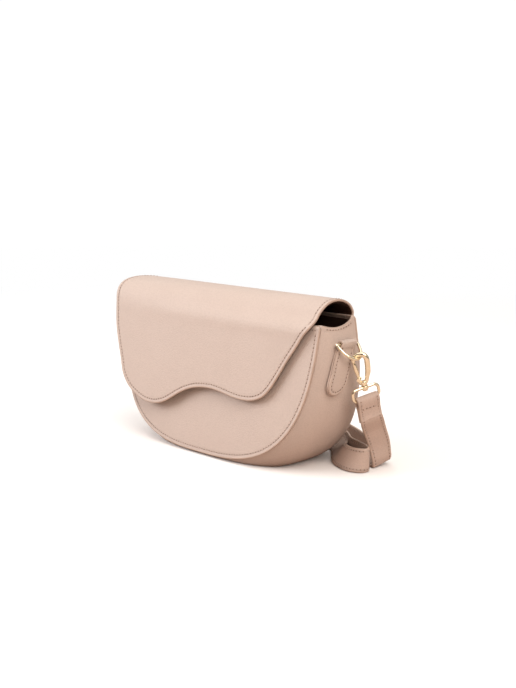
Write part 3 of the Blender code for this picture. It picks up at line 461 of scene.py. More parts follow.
def hole(name, colour):
    """The pierced hole at each end of a stitch, darkened as painted shade inside the hole."""
    f = Finish(name)
    f.surface(Base_Color=f.mix(f.noise(f.where(), 800.0, 2.0), shade(colour, 0.7), colour), Roughness=0.9)
    return f.material


def woven(name, colour):
    """Plain-woven lining cloth, its threads over and under each other."""
    f = Finish(name)
    uv = f.flat()
    parts = f.add("SeparateXYZ", {0: uv})
    rows = [f.math("SINE", f.math("MULTIPLY", parts.outputs[k], pi / WEAVE_PITCH)) for k in (0, 1)]
    weave = f.ramp(f.math("MULTIPLY", *rows), -1.0, 1.0)
    slub = f.noise(uv, 340.0, 4.0, 0.7)
    body = f.mix(f.math("MULTIPLY", weave, slub), shade(colour, 0.55), shade(colour, 1.5))
    height = f.math("ADD", weave, f.math("MULTIPLY", slub, 0.5))
    rough = f.ramp(slub, 0.2, 0.8, 0.74, 0.92)
    f.surface(Base_Color=body, Roughness=rough, Normal=f.bump(height, 0.00012, 0.8))
    f.surface(Specular_IOR_Level=0.2, Sheen_Weight=0.04, Sheen_Roughness=0.5)
    return f.material


def suede(name, colour):
    """The leather's rough flesh side."""
    f = Finish(name)
    uv = f.flat()
    nap = f.noise(uv, 1600.0, 5.0, 0.7)
    body = f.mix(f.ramp(f.noise(uv, 70.0, 3.0), 0.3, 0.7), shade(colour, 0.8), colour)
    rough = f.ramp(nap, 0.2, 0.8, 0.85, 0.98)
    f.surface(Base_Color=body, Roughness=rough, Normal=f.bump(nap, 0.00015, 0.8), Sheen_Weight=0.3)
    return f.material


def polished(name, colour, roughness, haze):
    """Plated metal: fine rubbing marks, a little haze, and slow waves in the polish."""
    f = Finish(name)
    where = f.where()
    stretched = f.add("Mapping", {"Vector": where, "Scale": (1.0, 1.0, 0.12)}).outputs[0]
    marks = f.noise(stretched, 5200.0, 3.0, 0.7)
    clouds = f.noise(where, 260.0, 3.0)
    body = f.mix(f.ramp(clouds, 0.35, 0.7), shade(colour, 0.93), colour)
    dull = f.ramp(clouds, 0.3, 0.7, roughness, roughness + haze)
    rough = f.math("ADD", f.ramp(marks, 0.45, 0.75, 0.0, haze), dull)
    normal = f.bump(marks, 0.000004, 0.4, f.bump(clouds, 0.00006, 0.5))
    f.surface(Base_Color=body, Metallic=1.0, Roughness=rough, Normal=normal)
    return f.material


# Mesh building


class Shape:
    """Points, faces and surface values of one piece, gathered before its mesh is made."""

    def __init__(self):
        self.points, self.uvs, self.edges = [], [], []
        self.faces, self.kinds = [], []
        self.count = 0

    def add(self, points, faces, kind, uv=None, edge=None, flip=False):
        """Adds faces of one kind, or of a kind each. Their corners count from these points."""
        points = np.asarray(points, float).reshape(-1, 3)
        total = len(points)
        self.points.append(points)
        self.uvs.append(points[:, :2] * 0.0 if uv is None else np.asarray(uv, float).reshape(-1, 2))
        self.edges.append(np.full(total, 1.0) if edge is None else np.asarray(edge, float).ravel())
        kinds = [kind] * len(faces) if isinstance(kind, int) else list(kind)
        for face, k in zip(faces, kinds):
            corners = [int(i) + self.count for i in face]
            self.faces.append(corners[::-1] if flip else corners)
            self.kinds.append(k)
        self.count += total

    def make(self, name, materials, sharp=50.0):
        mesh = bpy.data.meshes.new(name)
        points = np.concatenate(self.points)
        mesh.from_pydata(points.tolist(), [], self.faces)
        for made in materials:
            mesh.materials.append(made)
        mesh.polygons.foreach_set("material_index", np.array(self.kinds, np.int32))
        corners = np.zeros(len(mesh.loops), np.int32)
        mesh.loops.foreach_get("vertex_index", corners)
        layer = mesh.uv_layers.new(name="UVMap")
        layer.uv.foreach_set("vector", np.concatenate(self.uvs)[corners].astype(np.float32).ravel())
        edge = mesh.attributes.new("edge", "FLOAT", "POINT")
        edge.data.foreach_set("value", np.concatenate(self.edges).astype(np.float32))
        mesh.shade_smooth()
        mesh.set_sharp_from_angle(angle=radians(sharp))
        obj = bpy.data.objects.new(name, mesh)
        bpy.context.scene.collection.objects.link(obj)
        return obj


def unit(v):
    v = np.asarray(v, float)
    return v / np.maximum(np.linalg.norm(v, axis=-1, keepdims=True), 1e-12)


def volume(points, faces):
    total = 0.0
    for face in faces:
        a = points[face[0]]
        for j in range(1, len(face) - 1):
            total += a @ np.cross(points[face[j]], points[face[j + 1]])
    return total


def bands(rows, sides, closed=False):
    """Quads between rows of points that each go round, with a cap on each end unless the rows close."""
    faces = []
    for i in range(rows if closed else rows - 1):
        a, b = i * sides, (i + 1) % rows * sides
        for j in range(sides):
            k = (j + 1) % sides
            faces.append([a + j, a + k, b + k, b + j])
    if not closed:
        faces += [list(reversed(range(sides))), [(rows - 1) * sides + j for j in range(sides)]]
    return faces


def catmull(points, steps):
    """A smooth curve through points. steps is the number in every span, or a list of numbers."""
    points = np.asarray(points, float)
    last = len(points) - 1
    made = []
    for i, count in enumerate([steps] * last if isinstance(steps, int) else steps):
        a, b, c, d = (points[min(max(i + k, 0), last)] for k in (-1, 0, 1, 2))
        square, cube = a * 2 - b * 5 + c * 4 - d, b * 3 - a - c * 3 + d
        for k in range(count):
            t = k / count
            made.append((b * 2 + (c - a) * t + square * t**2 + cube * t**3) / 2)
    made.append(points[-1])
    return np.array(made)


def lengths(points):
    """Length along a line up to each of its points."""
    return np.concatenate([[0.0], np.cumsum(np.linalg.norm(np.diff(points, axis=0), axis=1))])


def sample(at, along, values):
    """Values at some lengths along a line."""
    return np.stack([np.interp(at, along, values[:, k]) for k in range(values.shape[1])], 1)


def evenly(points, step, closed=False):
    """The same line with points spaced evenly."""
    points = np.asarray(points, float)
    if closed:
        points = np.concatenate([points, points[:1]])
    along = lengths(points)
    count = max(2, int(round(along[-1] / step)))
    made = sample(np.linspace(0.0, along[-1], count + 1), along, points)
    return made[:-1] if closed else made


def soften(loop, radius, step=0.001):
    """Rounds the corners of a closed loop."""
    loop = evenly(loop, step, True)
    reach = int(round(radius / step))
    return sum(np.roll(loop, k, 0) for k in range(-reach, reach + 1)) / (2 * reach + 1)


def anticlockwise(loop):
    x, y = loop[:, 0], loop[:, 1]
    area = np.sum(x * np.roll(y, -1) - np.roll(x, -1) * y)
    return loop if area > 0 else loop[::-1]


def inset_loop(loop, distance):
    """An anticlockwise loop moved inward by a distance, with mitred corners."""
    first = unit(loop - np.roll(loop, 1, 0))
    second = unit(np.roll(loop, -1, 0) - loop)
    a = np.stack([-first[:, 1], first[:, 0]], 1)
    b = np.stack([-second[:, 1], second[:, 0]], 1)
    middle = (a + b) / 2
    return loop + middle / np.sum(middle**2, axis=1, keepdims=True) * distance


def distance_to(points, loop):
    """Distance from each point to a closed loop."""
    best = np.full(len(points), 1e9)
    a, b = loop, np.roll(loop, -1, 0)
    for start, end in zip(a, b):
        d = end - start
        t = np.clip(((points - start) @ d) / max(d @ d, 1e-16), 0, 1)
        best = np.minimum(best, np.sum((points - start - t[:, None] * d) ** 2, axis=1))
    return np.sqrt(best)


def is_inside(points, loop):
    hits = np.zeros(len(points), int)
    for (ax, ay), (bx, by) in zip(loop, np.roll(loop, -1, 0)):
        crosses = (ay > points[:, 1]) != (by > points[:, 1])
        x = ax + (points[:, 1] - ay) * (bx - ax) / (by - ay if by != ay else 1e-12)
        hits += crosses & (points[:, 0] < x)
    return hits % 2 == 1


def bead_steps():
    """Steps round an edge from the outer face to the inner one: share outward, share across."""
    for k in range(1, BEAD_STEPS + 1):
        angle = pi * k / (BEAD_STEPS + 1)
        across = abs(cos(angle)) ** EDGE_SQUARENESS * (1 if k * 2 <= BEAD_STEPS else -1)
        yield sin(angle) ** EDGE_SQUARENESS, across


def close_rim(shape, top, total, parts, faces, kinds, kind):
    """Adds a piece whose two faces have total points each, and whose border top is joined by beads."""
    points, uvs, edges = parts
    count = len(top)
    beads = [2 * total + k * count + np.arange(count) for k in range(BEAD_STEPS)]
    rim = [top, *beads, top + total]
    for upper, lower in zip(rim, rim[1:]):
        for i in range(count):
            j = (i + 1) % count
            faces.append([upper[i], lower[i], lower[j], upper[j]])
            kinds.append(kind)
    points = np.concatenate(points)
    flip = volume(points, faces) < 0
    shape.add(points, faces, kinds, np.concatenate(uvs), np.concatenate(edges), flip)


def patch(shape, outline, place, thickness, relief=None, kinds=(0, 1, 2), step=PATCH_STEP, seam=None):
    """A cut piece of sheet with a rounded edge all round.

    outline is its cut shape in two flat coordinates. place(u, v, depth) puts points in space,
    depth counting from the outer face to the inner one. relief(distance) raises the outer face.
    seam is the distance of a row of stitches from the edge.
    """
    outline = anticlockwise(evenly(outline, OUTLINE_STEP, True))
    bead = thickness / 2
    base = inset_loop(outline, bead)
    rings = RING_FREE if seam is None else [seam - bead + d for d in RING_AROUND]
    rings = [0.0] + [d for d in (RING_RISE, *rings) if d < RING_LIMIT * np.ptp(outline, axis=0).min()]
    loops = [inset_loop(base, d) for d in rings]
    low, high = outline.min(0), outline.max(0)
    lattice = []
    for i, v in enumerate(np.arange(low[1], high[1], step * sqrt(3) / 2)):
        us = np.arange(low[0] + (i % 2) * step / 2, high[0], step)
        lattice.append(np.stack([us, np.full(len(us), v)], 1))
    lattice = np.concatenate(lattice)
    lattice = lattice[is_inside(lattice, base)]
    lattice = lattice[distance_to(lattice, base) > rings[-1] + step * LATTICE_GAP]
    flat = np.concatenate([*loops, lattice])
    count = len(base)
    links = [(k * count + i, k * count + (i + 1) % count) for k in range(len(loops)) for i in range(count)]
    corners, _, faces, sources, _, _ = delaunay_2d_cdt([Vector(p) for p in flat], links, [], 1, 1e-7)
    corners = np.array([tuple(c) for c in corners])
    found = {source: i for i, several in enumerate(sources) for source in several}
    border = np.array([found[i] for i in range(count)])
    relief = relief or (lambda distance: 0.0 * distance)
    distance = distance_to(corners, outline)
    outer = place(corners[:, 0], corners[:, 1], -relief(distance))
    inner = place(corners[:, 0], corners[:, 1], np.full(len(corners), thickness))
    points, uvs, edges = [outer, inner], [corners, corners], [distance, distance]
    total = len(corners)
    faces = [list(face) for face in faces]
    face_kinds = [kinds[0]] * len(faces) + [kinds[2]] * len(faces)
    faces += [[i + total for i in reversed(face)] for face in faces]
    edge_lift = float(relief(np.array([bead]))[0])
    for outward, across in bead_steps():
        ring = inset_loop(base, -bead * outward)
        depth = (thickness + edge_lift) / 2 * (1 - across) - edge_lift
        points.append(place(ring[:, 0], ring[:, 1], np.full(count, depth)))
        uvs.append(ring)
        edges.append(np.zeros(count))
    close_rim(shape, border, total, (points, uvs, edges), faces, face_kinds, kinds[1])
    return outline


def grid_shell(shape, outer, inner, edge, kinds=(0, 1, 2)):
    """A shell between two grids of points, with a rounded rim."""
    rows, columns = outer.shape[:2]
    total = rows * columns
    index = np.arange(total).reshape(rows, columns)
    along = lengths(outer[:, columns // 2])
    across = np.cumsum(np.linalg.norm(np.diff(outer, axis=1, prepend=outer[:, :1]), axis=2), axis=1)
    across -= across[:, columns // 2][:, None]
    uv = np.stack([np.repeat(along[:, None], columns, 1), across], 2).reshape(-1, 2)
    faces, face_kinds = [], []
    for i in range(rows - 1):
        for j in range(columns - 1):
            a, b, c, d = index[i, j], index[i, j + 1], index[i + 1, j + 1], index[i + 1, j]
            faces += [[a, b, c, d], [total + d, total + c, total + b, total + a]]
            face_kinds += [kinds[0], kinds[2]]
    loop = [(0, j) for j in range(columns)] + [(i, columns - 1) for i in range(1, rows)]
    loop += [(rows - 1, j) for j in range(columns - 2, -1, -1)] + [(i, 0) for i in range(rows - 2, 0, -1)]
    at = np.array([index[p] for p in loop])
    near = np.array([index[min(max(i, 1), rows - 2), min(max(j, 1), columns - 2)] for i, j in loop])
    outer, inner, edge = outer.reshape(-1, 3), inner.reshape(-1, 3), edge.ravel()
    top, low = outer[at], inner[at]
    half = (top - low) / 2
    away = top - outer[near]
    away -= unit(half) * np.sum(away * unit(half), axis=1, keepdims=True)
    away = unit(away) * np.linalg.norm(half, axis=1, keepdims=True)
    points, uvs, edges = [outer, inner], [uv, uv], [edge, edge]
    for outward, turned in bead_steps():
        points.append((top + low) / 2 + half * turned + away * outward * RIM_REACH)
        uvs.append(uv[at])
        edges.append(np.zeros(len(loop)))
    close_rim(shape, at, total, (points, uvs, edges), faces, face_kinds, kinds[1])


def tube(shape, path, radii, across, sides=WIRE_SIDES, cyclic=False, flat=1.0):
    """A round or flattened wire along a path. across is roughly square to the path's plane."""
    path = np.asarray(path, float)
    radii, flat = (np.broadcast_to(np.asarray(v, float), (len(path),))[:, None, None] for v in (radii, flat))
    along = unit(np.roll(path, -1, 0) - np.roll(path, 1, 0) if cyclic else np.gradient(path, axis=0))
    side = unit(across - along * (along @ across)[:, None])
    up = np.cross(along, side)
    angle = 2 * pi * (np.arange(sides) + 0.5) / sides
    ring = side[:, None] * np.cos(angle)[None, :, None] * flat + up[:, None] * np.sin(angle)[None, :, None]
    points = (path[:, None] + ring * radii).reshape(-1, 3)
    faces = bands(len(path), sides, cyclic)
    shape.add(points, faces, 0, flip=volume(points, faces) < 0)


def into(matrix, points):
    turn = np.array(matrix.to_3x3())
    return np.asarray(points, float) @ turn.T + np.array(matrix.translation)


def axis_of(matrix, number):
    return np.array(matrix.to_3x3().col[number])


def lathe(shape, profile, matrix, sides=TURNED_SIDES, bored=False):
    """A turned piece. profile holds radius and height, from end to end, or closed round a bore."""
    angle = 2 * pi * np.arange(sides) / sides
    rings = [(max(r, 1e-5), z) for r, z in profile]
    rings = [np.stack([r * np.cos(angle), r * np.sin(angle), 0 * angle + z], 1) for r, z in rings]
    points = into(matrix, np.concatenate(rings))
    faces = bands(len(profile), sides, bored)
    shape.add(points, faces, 0, flip=volume(points, faces) < 0)


def rounded_rod(radius, low, high, bevel):
    """Profile of a rod with rounded ends."""
    arc = [(radius - bevel + bevel * sin(a), low + bevel - bevel * cos(a)) for a in np.linspace(0, pi / 2, 5)]
    top = [(r, low + high - z) for r, z in reversed(arc)]
    return [(0.0, low), *arc, *top, (0.0, high)]


def stitches(shape, points, normals, kinds=(3, 4), pitch=STITCH_PITCH):
    """A row of thread stitches on a surface, with a pierced hole between each two."""
    along = lengths(points)
    count = max(1, int(along[-1] / pitch))
    start = (along[-1] - count * pitch) / 2
    at = start + pitch * (np.arange(count) + 0.5)
    centre, normal = sample(at, along, points), unit(sample(at, along, normals))
    ahead = unit(sample(at + pitch / 4, along, points) - sample(at - pitch / 4, along, points))
    side = unit(np.cross(ahead, normal))
    angle = 2 * pi * np.arange(STITCH_SIDES) / STITCH_SIDES
    ring = side[:, None] * np.cos(angle)[None, :, None] + normal[:, None] * np.sin(angle)[None, :, None]
    straight = np.sum(ahead * np.roll(ahead, 1, axis=0), axis=1) > SHARP_TURN
    straight[0] = True
    faces = bands(len(STITCH_SHARES), STITCH_SIDES)
    low = 1 + STITCH_SIDES
    fan = []
    for j in range(STITCH_SIDES):
        k = (j + 1) % STITCH_SIDES
        fan += [[0, 1 + j, 1 + k], [low, 1 + k, 1 + j]]
    for i in np.flatnonzero(straight):
        run, lift = np.outer(STITCH_SHARES * STITCH_LENGTH, ahead[i]), np.outer(STITCH_LIFT, normal[i])
        line = centre[i] + run + lift
        block = line[:, None] + ring[i][None] * STITCH_GIRTH[:, None, None]
        flip = bool(np.dot(np.cross(ring[i][0], ring[i][1]), ahead[i]) < 0)
        shape.add(block, faces, kinds[0], flip=flip)
        spot = centre[i] - ahead[i] * pitch / 2
        disc = [spot + normal[i] * HOLE_PROUD * 2]
        for a in angle:
            disc.append(spot + (side[i] * cos(a) + ahead[i] * sin(a)) * HOLE_RADIUS + normal[i] * HOLE_PROUD)
        disc.append(spot - normal[i] * HOLE_RADIUS * HOLE_SINK)
        shape.add(disc, fan, kinds[1], flip=volume(np.array(disc) - spot, fan) < 0)


def sew(shape, path, place, pitch=STITCH_PITCH, lift=0.0):
    """Stitches along a line given in a piece's two flat coordinates."""
    path = evenly(path, 0.001)
    depth = np.full(len(path), -lift)
    points, above = (place(path[:, 0], path[:, 1], depth - d) for d in (0.0, 0.0005))
    stitches(shape, points, unit(above - points), pitch=pitch)


# The outline of the panels


def outline(turn, side):
    """x and height above the seam line at a turn from 0, right top, to pi, left top."""
    height = BODY_HEIGHT + BACK_RISE * (side + 1) / 2
    c, s = np.cos(turn), np.sin(turn)
    return HALF_WIDTH * np.sign(c) * abs(c) ** OUTLINE_POWER, height * (1 - abs(s) ** OUTLINE_POWER)


def outline_normal(turn, side):
    small = 1e-4
    ax, az = outline(np.maximum(turn - small, 0.0), side)
    bx, bz = outline(np.minimum(turn + small, pi), side)
    size = np.hypot(bx - ax, bz - az)
    return -(bz - az) / size, (bx - ax) / size


def set_out(turn, side, distance):
    """The outline moved outward by a distance."""
    x, z = outline(turn, side)
    nx, nz = outline_normal(turn, side)
    return x + nx * distance, z + nz * distance


def outline_turns(count):
    fine = np.linspace(0, pi, 4001)
    along = lengths(np.stack(outline(fine, -1), 1))
    return np.interp(np.linspace(0, along[-1], count), along, fine)


def face_y(side, z, inward):
    """y of the plane that lies inward of the outer face of the front (-1) or back (1) panel."""
    depth = BOTTOM_DEPTH + (TOP_DEPTH - BOTTOM_DEPTH) * z / BODY_HEIGHT
    slope = (BOTTOM_DEPTH - TOP_DEPTH) / 2 / BODY_HEIGHT
    return side * (depth / 2 - inward * sqrt(1 + slope * slope))


FRONT_SLOPE = sqrt(1 + ((BOTTOM_DEPTH - TOP_DEPTH) / 2 / BODY_HEIGHT) ** 2)
FLANGE_INWARD = PANEL_LEATHER + SEAM_GAP
LINING_INWARD = FLANGE_INWARD + GUSSET_LEATHER + SEAM_GAP
INSIDE_INWARD = LINING_INWARD + LINING


def web(turn, s, inset, inward):
    """Points of the gusset's belly. s runs from -1 at the front seam to 1 at the back seam."""
    x, z = outline(turn, s)
    nx, nz = outline_normal(turn, s)
    level = np.clip(z / BODY_HEIGHT, 0.0, 1.0)
    bulge = GUSSET_BULGE * (1 - abs(s) ** BULGE_POWER) * (1 - BULGE_FADE * level**2)
    near_top = np.maximum(0.0, (level - SAG_START) / (1 - SAG_START))
    sag = GUSSET_TOP_SAG * (1 - s * s) * near_top**2
    height = np.maximum(z + nz * (bulge - inset) - sag + SEAM_LIFT, inset)
    y = abs(s) * face_y(1 if s > 0 else -1, z, inward)
    return np.stack([x + nx * (bulge - inset), y, height], 1)


def make_gusset(looks):
    turns = outline_turns(240)
    shares = np.sin(np.linspace(-pi / 2, pi / 2, 33))
    edge_at = lengths(np.stack(outline(turns, 0), 1))
    edge_at = np.minimum(edge_at, edge_at[-1] - edge_at)
    faces = []
    for depth in (0.0, GUSSET_LEATHER):
        belly = [web(turns, s, depth, FLANGE_INWARD + depth) for s in shares]
        flanges = [flange(turns, side, depth) for side in (-1, 1)]
        faces.append(np.stack([flanges[0], *belly, flanges[1]], 1))
    shape = Shape()
    grid_shell(shape, *faces, np.repeat(edge_at[:, None], len(shares) + 2, 1))
    near = int(np.searchsorted(edge_at[: len(turns) // 2], MOUTH_STITCH_INSET))
    for k, hand in ((near, 1.0), (-1 - near, -1.0)):
        row = [web(turns[[k]], s, 0.0, FLANGE_INWARD)[0] for s in MOUTH_STITCH_SHARES]
        stitches(shape, np.array(row), np.repeat([[hand, 0.0, 0.0]], len(row), 0))
    dress(shape, "gusset_belly", looks["leather"], "leather_body", "gusset", "bag")
    skin = GUSSET_LEATHER + LINING_EASE
    inward = INSIDE_INWARD + SEAM_GAP
    outer, inner = (
        np.stack([web(turns[2:-2], s, inset, inward) for s in shares], 1) for inset in (skin, skin + LINING)
    )
    shape = Shape()
    grid_shell(shape, outer, inner, np.ones(outer.shape[:2]), CLOTH_KINDS)
    across = np.linalg.norm(np.diff(outer, axis=1), axis=2).sum(1)
    length = float(lengths(outer[:, len(shares) // 2])[-1])
    along = np.linalg.norm(np.diff(outer, axis=0), axis=2).mean(1)
    area = float(np.sum(along * (across[1:] + across[:-1]) / 2))
    size = (float(across.max()), length, area)
    line_cloth(shape, "gusset_lining_cloth", looks, "gusset_lining", size, "gusset_belly", "bag")


def sew_round(shape, cut, inset, place):
    """Stitches in the groove all round a cut shape."""
    row = inset_loop(cut, inset)
    sew(shape, np.concatenate([row, row[:1]]), place, lift=-GROOVE_DEPTH)


def dress(shape, name, look, slot, node, *bodies, **reach):
    """Makes a piece that rides on one body, or that is baked in place when a reach is given, and stands for a
    node, if any.
    """
    piece = shape.make(name, look)
    if reach:
        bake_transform(piece)
    else:
        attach(piece, *bodies)
    if node:
        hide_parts(node)
    return piece


def line_cloth(shape, name, looks, node, size, behind, *bodies, **reach):
    """Makes a lining and prints its width, length and area; behind is not used."""
    piece = dress(shape, name, looks["lining"], "lining", node, *bodies, **reach)
    wide, long, area = size
    print(f"{node} flat size {wide:.4f} x {long:.4f} m, area {area:.5f} m2")


def cut_size(loop, slope):
    """Width, length and area of a flat cut shape whose second coordinate is a height on a slope."""
    x, y = loop[:, 0], loop[:, 1] * slope
    area = abs(np.sum(x * np.roll(y, -1) - np.roll(x, -1) * y)) / 2
    return float(np.ptp(x)), float(np.ptp(y)), float(area)


def flange(turns, side, depth):
    x, z = set_out(turns, side, -FLANGE_WIDTH)
    return np.stack([x, face_y(side, z, FLANGE_INWARD + depth), z + SEAM_LIFT], 1)


def panel_loop(side, inset, drop):
    """The closed cut shape of a panel, in x and height above the seam line."""
    x, z = set_out(outline_turns(260), side, -inset)
    return np.stack([x, np.minimum(z, BODY_HEIGHT + BACK_RISE * (side + 1) / 2 - drop)], 1)


def panel_place(side, near):
    def place(x, z, depth):
        return np.stack([x, face_y(side, z, near + depth), z + SEAM_LIFT], 1)

    return place


def pressed(puff):
    """Relief of a sewn leather face: a groove under the stitches and a soft swell inside them."""

    def relief(distance):
        inside = distance - STITCH_INSET
        groove = GROOVE_DEPTH * np.exp(-((inside / GROOVE_WIDTH) ** 2))
        return puff * (1 - np.exp(-(np.maximum(inside, 0.0) / SWELL_REACH) ** SWELL_POWER)) - groove

    return relief


def make_panels(looks):
    for word, side in (("front", -1), ("back", 1)):
        shape = Shape()
        place = panel_place(side, 0.0)
        loop = soften(panel_loop(side, 0.0, 0.0), PANEL_CORNER)
        cut = patch(shape, loop, place, PANEL_LEATHER, pressed(PANEL_PUFF), seam=STITCH_INSET)
        sew_round(shape, cut, STITCH_INSET, place)
        dress(shape, f"{word}_face", looks["leather"], "leather_body", f"{word}_panel", "bag")
        shape = Shape()
        loop = soften(panel_loop(side, GUSSET_LEATHER + LINING_INSET, LINING_TOP_DROP), PANEL_CORNER)
        cut = patch(shape, loop, panel_place(side, LINING_INWARD), LINING, kinds=CLOTH_KINDS, step=CLOTH_STEP)
        name, size = f"{word}_lining_cloth", cut_size(cut, FRONT_SLOPE)
        line_cloth(shape, name, looks, f"{word}_lining", size, f"{word}_face", "bag")
    shape = Shape()
    half, low, high = POCKET_HALF_WIDTH, POCKET_LOW, POCKET_HIGH
    loop = soften(np.array([(-half, low), (half, low), (half, high), (-half, high)]), POCKET_CORNER)
    place = panel_place(1, INSIDE_INWARD + SEAM_GAP)

    def facing(x, z, depth):
        return place(x, z, LINING - depth)

    cut = patch(shape, loop, facing, LINING, kinds=CLOTH_KINDS, step=CLOTH_STEP)
    row = inset_loop(cut, POCKET_STITCH_INSET)
    row = np.roll(row, -int(np.argmax(row[:, 0] + row[:, 1])), 0)
    sew(shape, np.concatenate([row, row[:1]]), facing)
    size = cut_size(cut, FRONT_SLOPE)
    line_cloth(shape, "slip_pocket_cloth", looks, "slip_pocket", size, "back_lining_cloth", "bag")


# The flap

BACK_STANDOFF = SEAM_GAP + FLAP_LINING + SEAM_GAP + FLAP_LEATHER
BAND_HEIGHT = BODY_HEIGHT - FLAP_BAND_DROP


def flap_line(standoff, arch):
    """The flap's section in y and z, from its hem on the back over the mouth and down the front."""
    middle = (FLAP_STANDOFF_LEFT + FLAP_STANDOFF_RIGHT) / 2
    top = SEAM_LIFT + BODY_HEIGHT
    line = [(face_y(1, BAND_HEIGHT - drop, -off), BAND_HEIGHT - drop + SEAM_LIFT) for drop, off in FLAP_HEM]
    line.append((face_y(1, BAND_HEIGHT, -BACK_STANDOFF), BAND_HEIGHT + SEAM_LIFT))
    line.append((face_y(1, BODY_HEIGHT, -BACK_STANDOFF), top))
    for y, z in arch:
        line.append((y * TOP_DEPTH / 2 - max(0.0, -y) * (standoff - middle), top + z * FLAP_RISE))
    for share in np.linspace(FLAP_FRONT_SHARE, 0.0, 12):
        z = BODY_HEIGHT * share
        line.append((face_y(-1, z, -standoff), z + SEAM_LIFT))
    return catmull(line, FLAP_SPAN_STEPS)


FLAP_RIGHT_LINE = flap_line(FLAP_STANDOFF_RIGHT, FLAP_ARCH_SHARES)
FLAP_LEFT_LINE = flap_line(FLAP_STANDOFF_LEFT, FLAP_ARCH_LEFT_SHARES)
FLAP_ALONG = lengths((FLAP_RIGHT_LINE + FLAP_LEFT_LINE) / 2)
FRONT_LEVEL = SEAM_LIFT + BODY_HEIGHT * FLAP_FRONT_SHARE
FRONT_OFF = abs(FLAP_RIGHT_LINE[:, 1] - FRONT_LEVEL) + (FLAP_RIGHT_LINE[:, 0] > 0)
FLAP_FRONT_ALONG = FLAP_ALONG[int(np.argmin(FRONT_OFF))]
HINGE_ALONG = float(FLAP_ALONG[len(FLAP_HEM) * FLAP_SPAN_STEPS])


def flap_place(near):
    def place(x, v, depth):
        share = np.clip((x + HALF_WIDTH) / (2 * HALF_WIDTH), -0.1, 1.1)[:, None]

        def section(at):
            right, left = (sample(at, FLAP_ALONG, line) for line in (FLAP_RIGHT_LINE, FLAP_LEFT_LINE))
            return left + (right - left) * share

        small = 0.0015
        line = section(v)
        along = unit(section(v + small) - section(v - small))
        inward = np.stack([-along[:, 1], along[:, 0]], 1)
        moved = line + inward * (near + depth)[:, None]
        return np.stack([x, moved[:, 0], moved[:, 1]], 1)

    return place


def flap_loop(inset, hem):
    """The flap's cut shape: x, and length along its section from the edge of the hem."""
    wave = catmull(FLAP_EDGE_SHARES, 6)
    drop = (BODY_HEIGHT * FLAP_FRONT_SHARE - wave[:, 1] * BODY_HEIGHT) * FRONT_SLOPE
    wave = np.stack([wave[:, 0] * HALF_WIDTH, FLAP_FRONT_ALONG + drop], 1)
    start = HINGE_ALONG - hem
    left = [(share * HALF_WIDTH, FLAP_FRONT_ALONG - back) for back, share in FLAP_LEFT_SHARES]
    left = catmull(np.array([wave[-1], *left, (left[-1][0] * FLAP_LEFT_TAPER, start)]), 6)
    loop = np.concatenate([wave, left[1:], [(FLAP_EDGE_SHARES[0][0] * HALF_WIDTH, start)]])
    return inset_loop(anticlockwise(soften(loop, FLAP_CORNER)), inset)


def make_flap(looks):
    hinge = np.array((0.0, face_y(1, BAND_HEIGHT, -BACK_STANDOFF), BAND_HEIGHT + SEAM_LIFT))
    reach = {"start": tuple(hinge + FLAP_BEND), "end": tuple(hinge - FLAP_BEND)}
    shape = Shape()
    place = flap_place(0.0)
    loop = flap_loop(0.0, FLAP_HEM[0][0])
    cut = patch(shape, loop, place, FLAP_LEATHER, pressed(FLAP_PUFF), seam=STITCH_INSET)
    sew_round(shape, cut, STITCH_INSET, place)
    dress(shape, "flap_face", looks["leather"], "leather_body", "flap", "bag", "flap", **reach)
    shape = Shape()
    place = flap_place(FLAP_LEATHER + SEAM_GAP)
    cut = patch(shape, flap_loop(LINING, LINING_HEM), place, FLAP_LINING, kinds=CLOTH_KINDS, step=CLOTH_STEP)
    size = cut_size(cut, 1.0)
    line_cloth(shape, "flap_lining_cloth", looks, "flap_lining", size, "flap_face", "bag", "flap", **reach)


# The sides: tabs, rings, hooks and loops. hand is 1 on the right and -1 on the left.


def joint_place(name):
    return next(j for j in frame["joints"] if j["name"] == name)["pos_m"]


def skin_x(y, height):
    """x of the gusset's right skin at a height above the floor, on the line of a given y."""
    turns = np.linspace(0.002, pi / 2, 800)
    depth = face_y(1, outline(turns, 0)[1], FLANGE_INWARD)
    shares = np.clip(y / depth, -1, 1)
    points = [web(turns[[k]], float(shares[k]), 0.0, FLANGE_INWARD)[0] for k in range(len(turns))]
    return min(points, key=lambda p: abs(p[2] - height))[0]


FOLD_Z = SEAM_LIFT + BODY_HEIGHT - TAB_DROP
TAB_FOLD_RADIUS = RING_WIRE + TAB_CLEARANCE + TAB_LEATHER / 2


def handed(v, hand):
    v = np.array(v, float)
    v[..., 0] *= hand
    return v


def gild(shape, looks, name, node, body):
    dress(shape, name, looks["gold"], "gold", node, body)


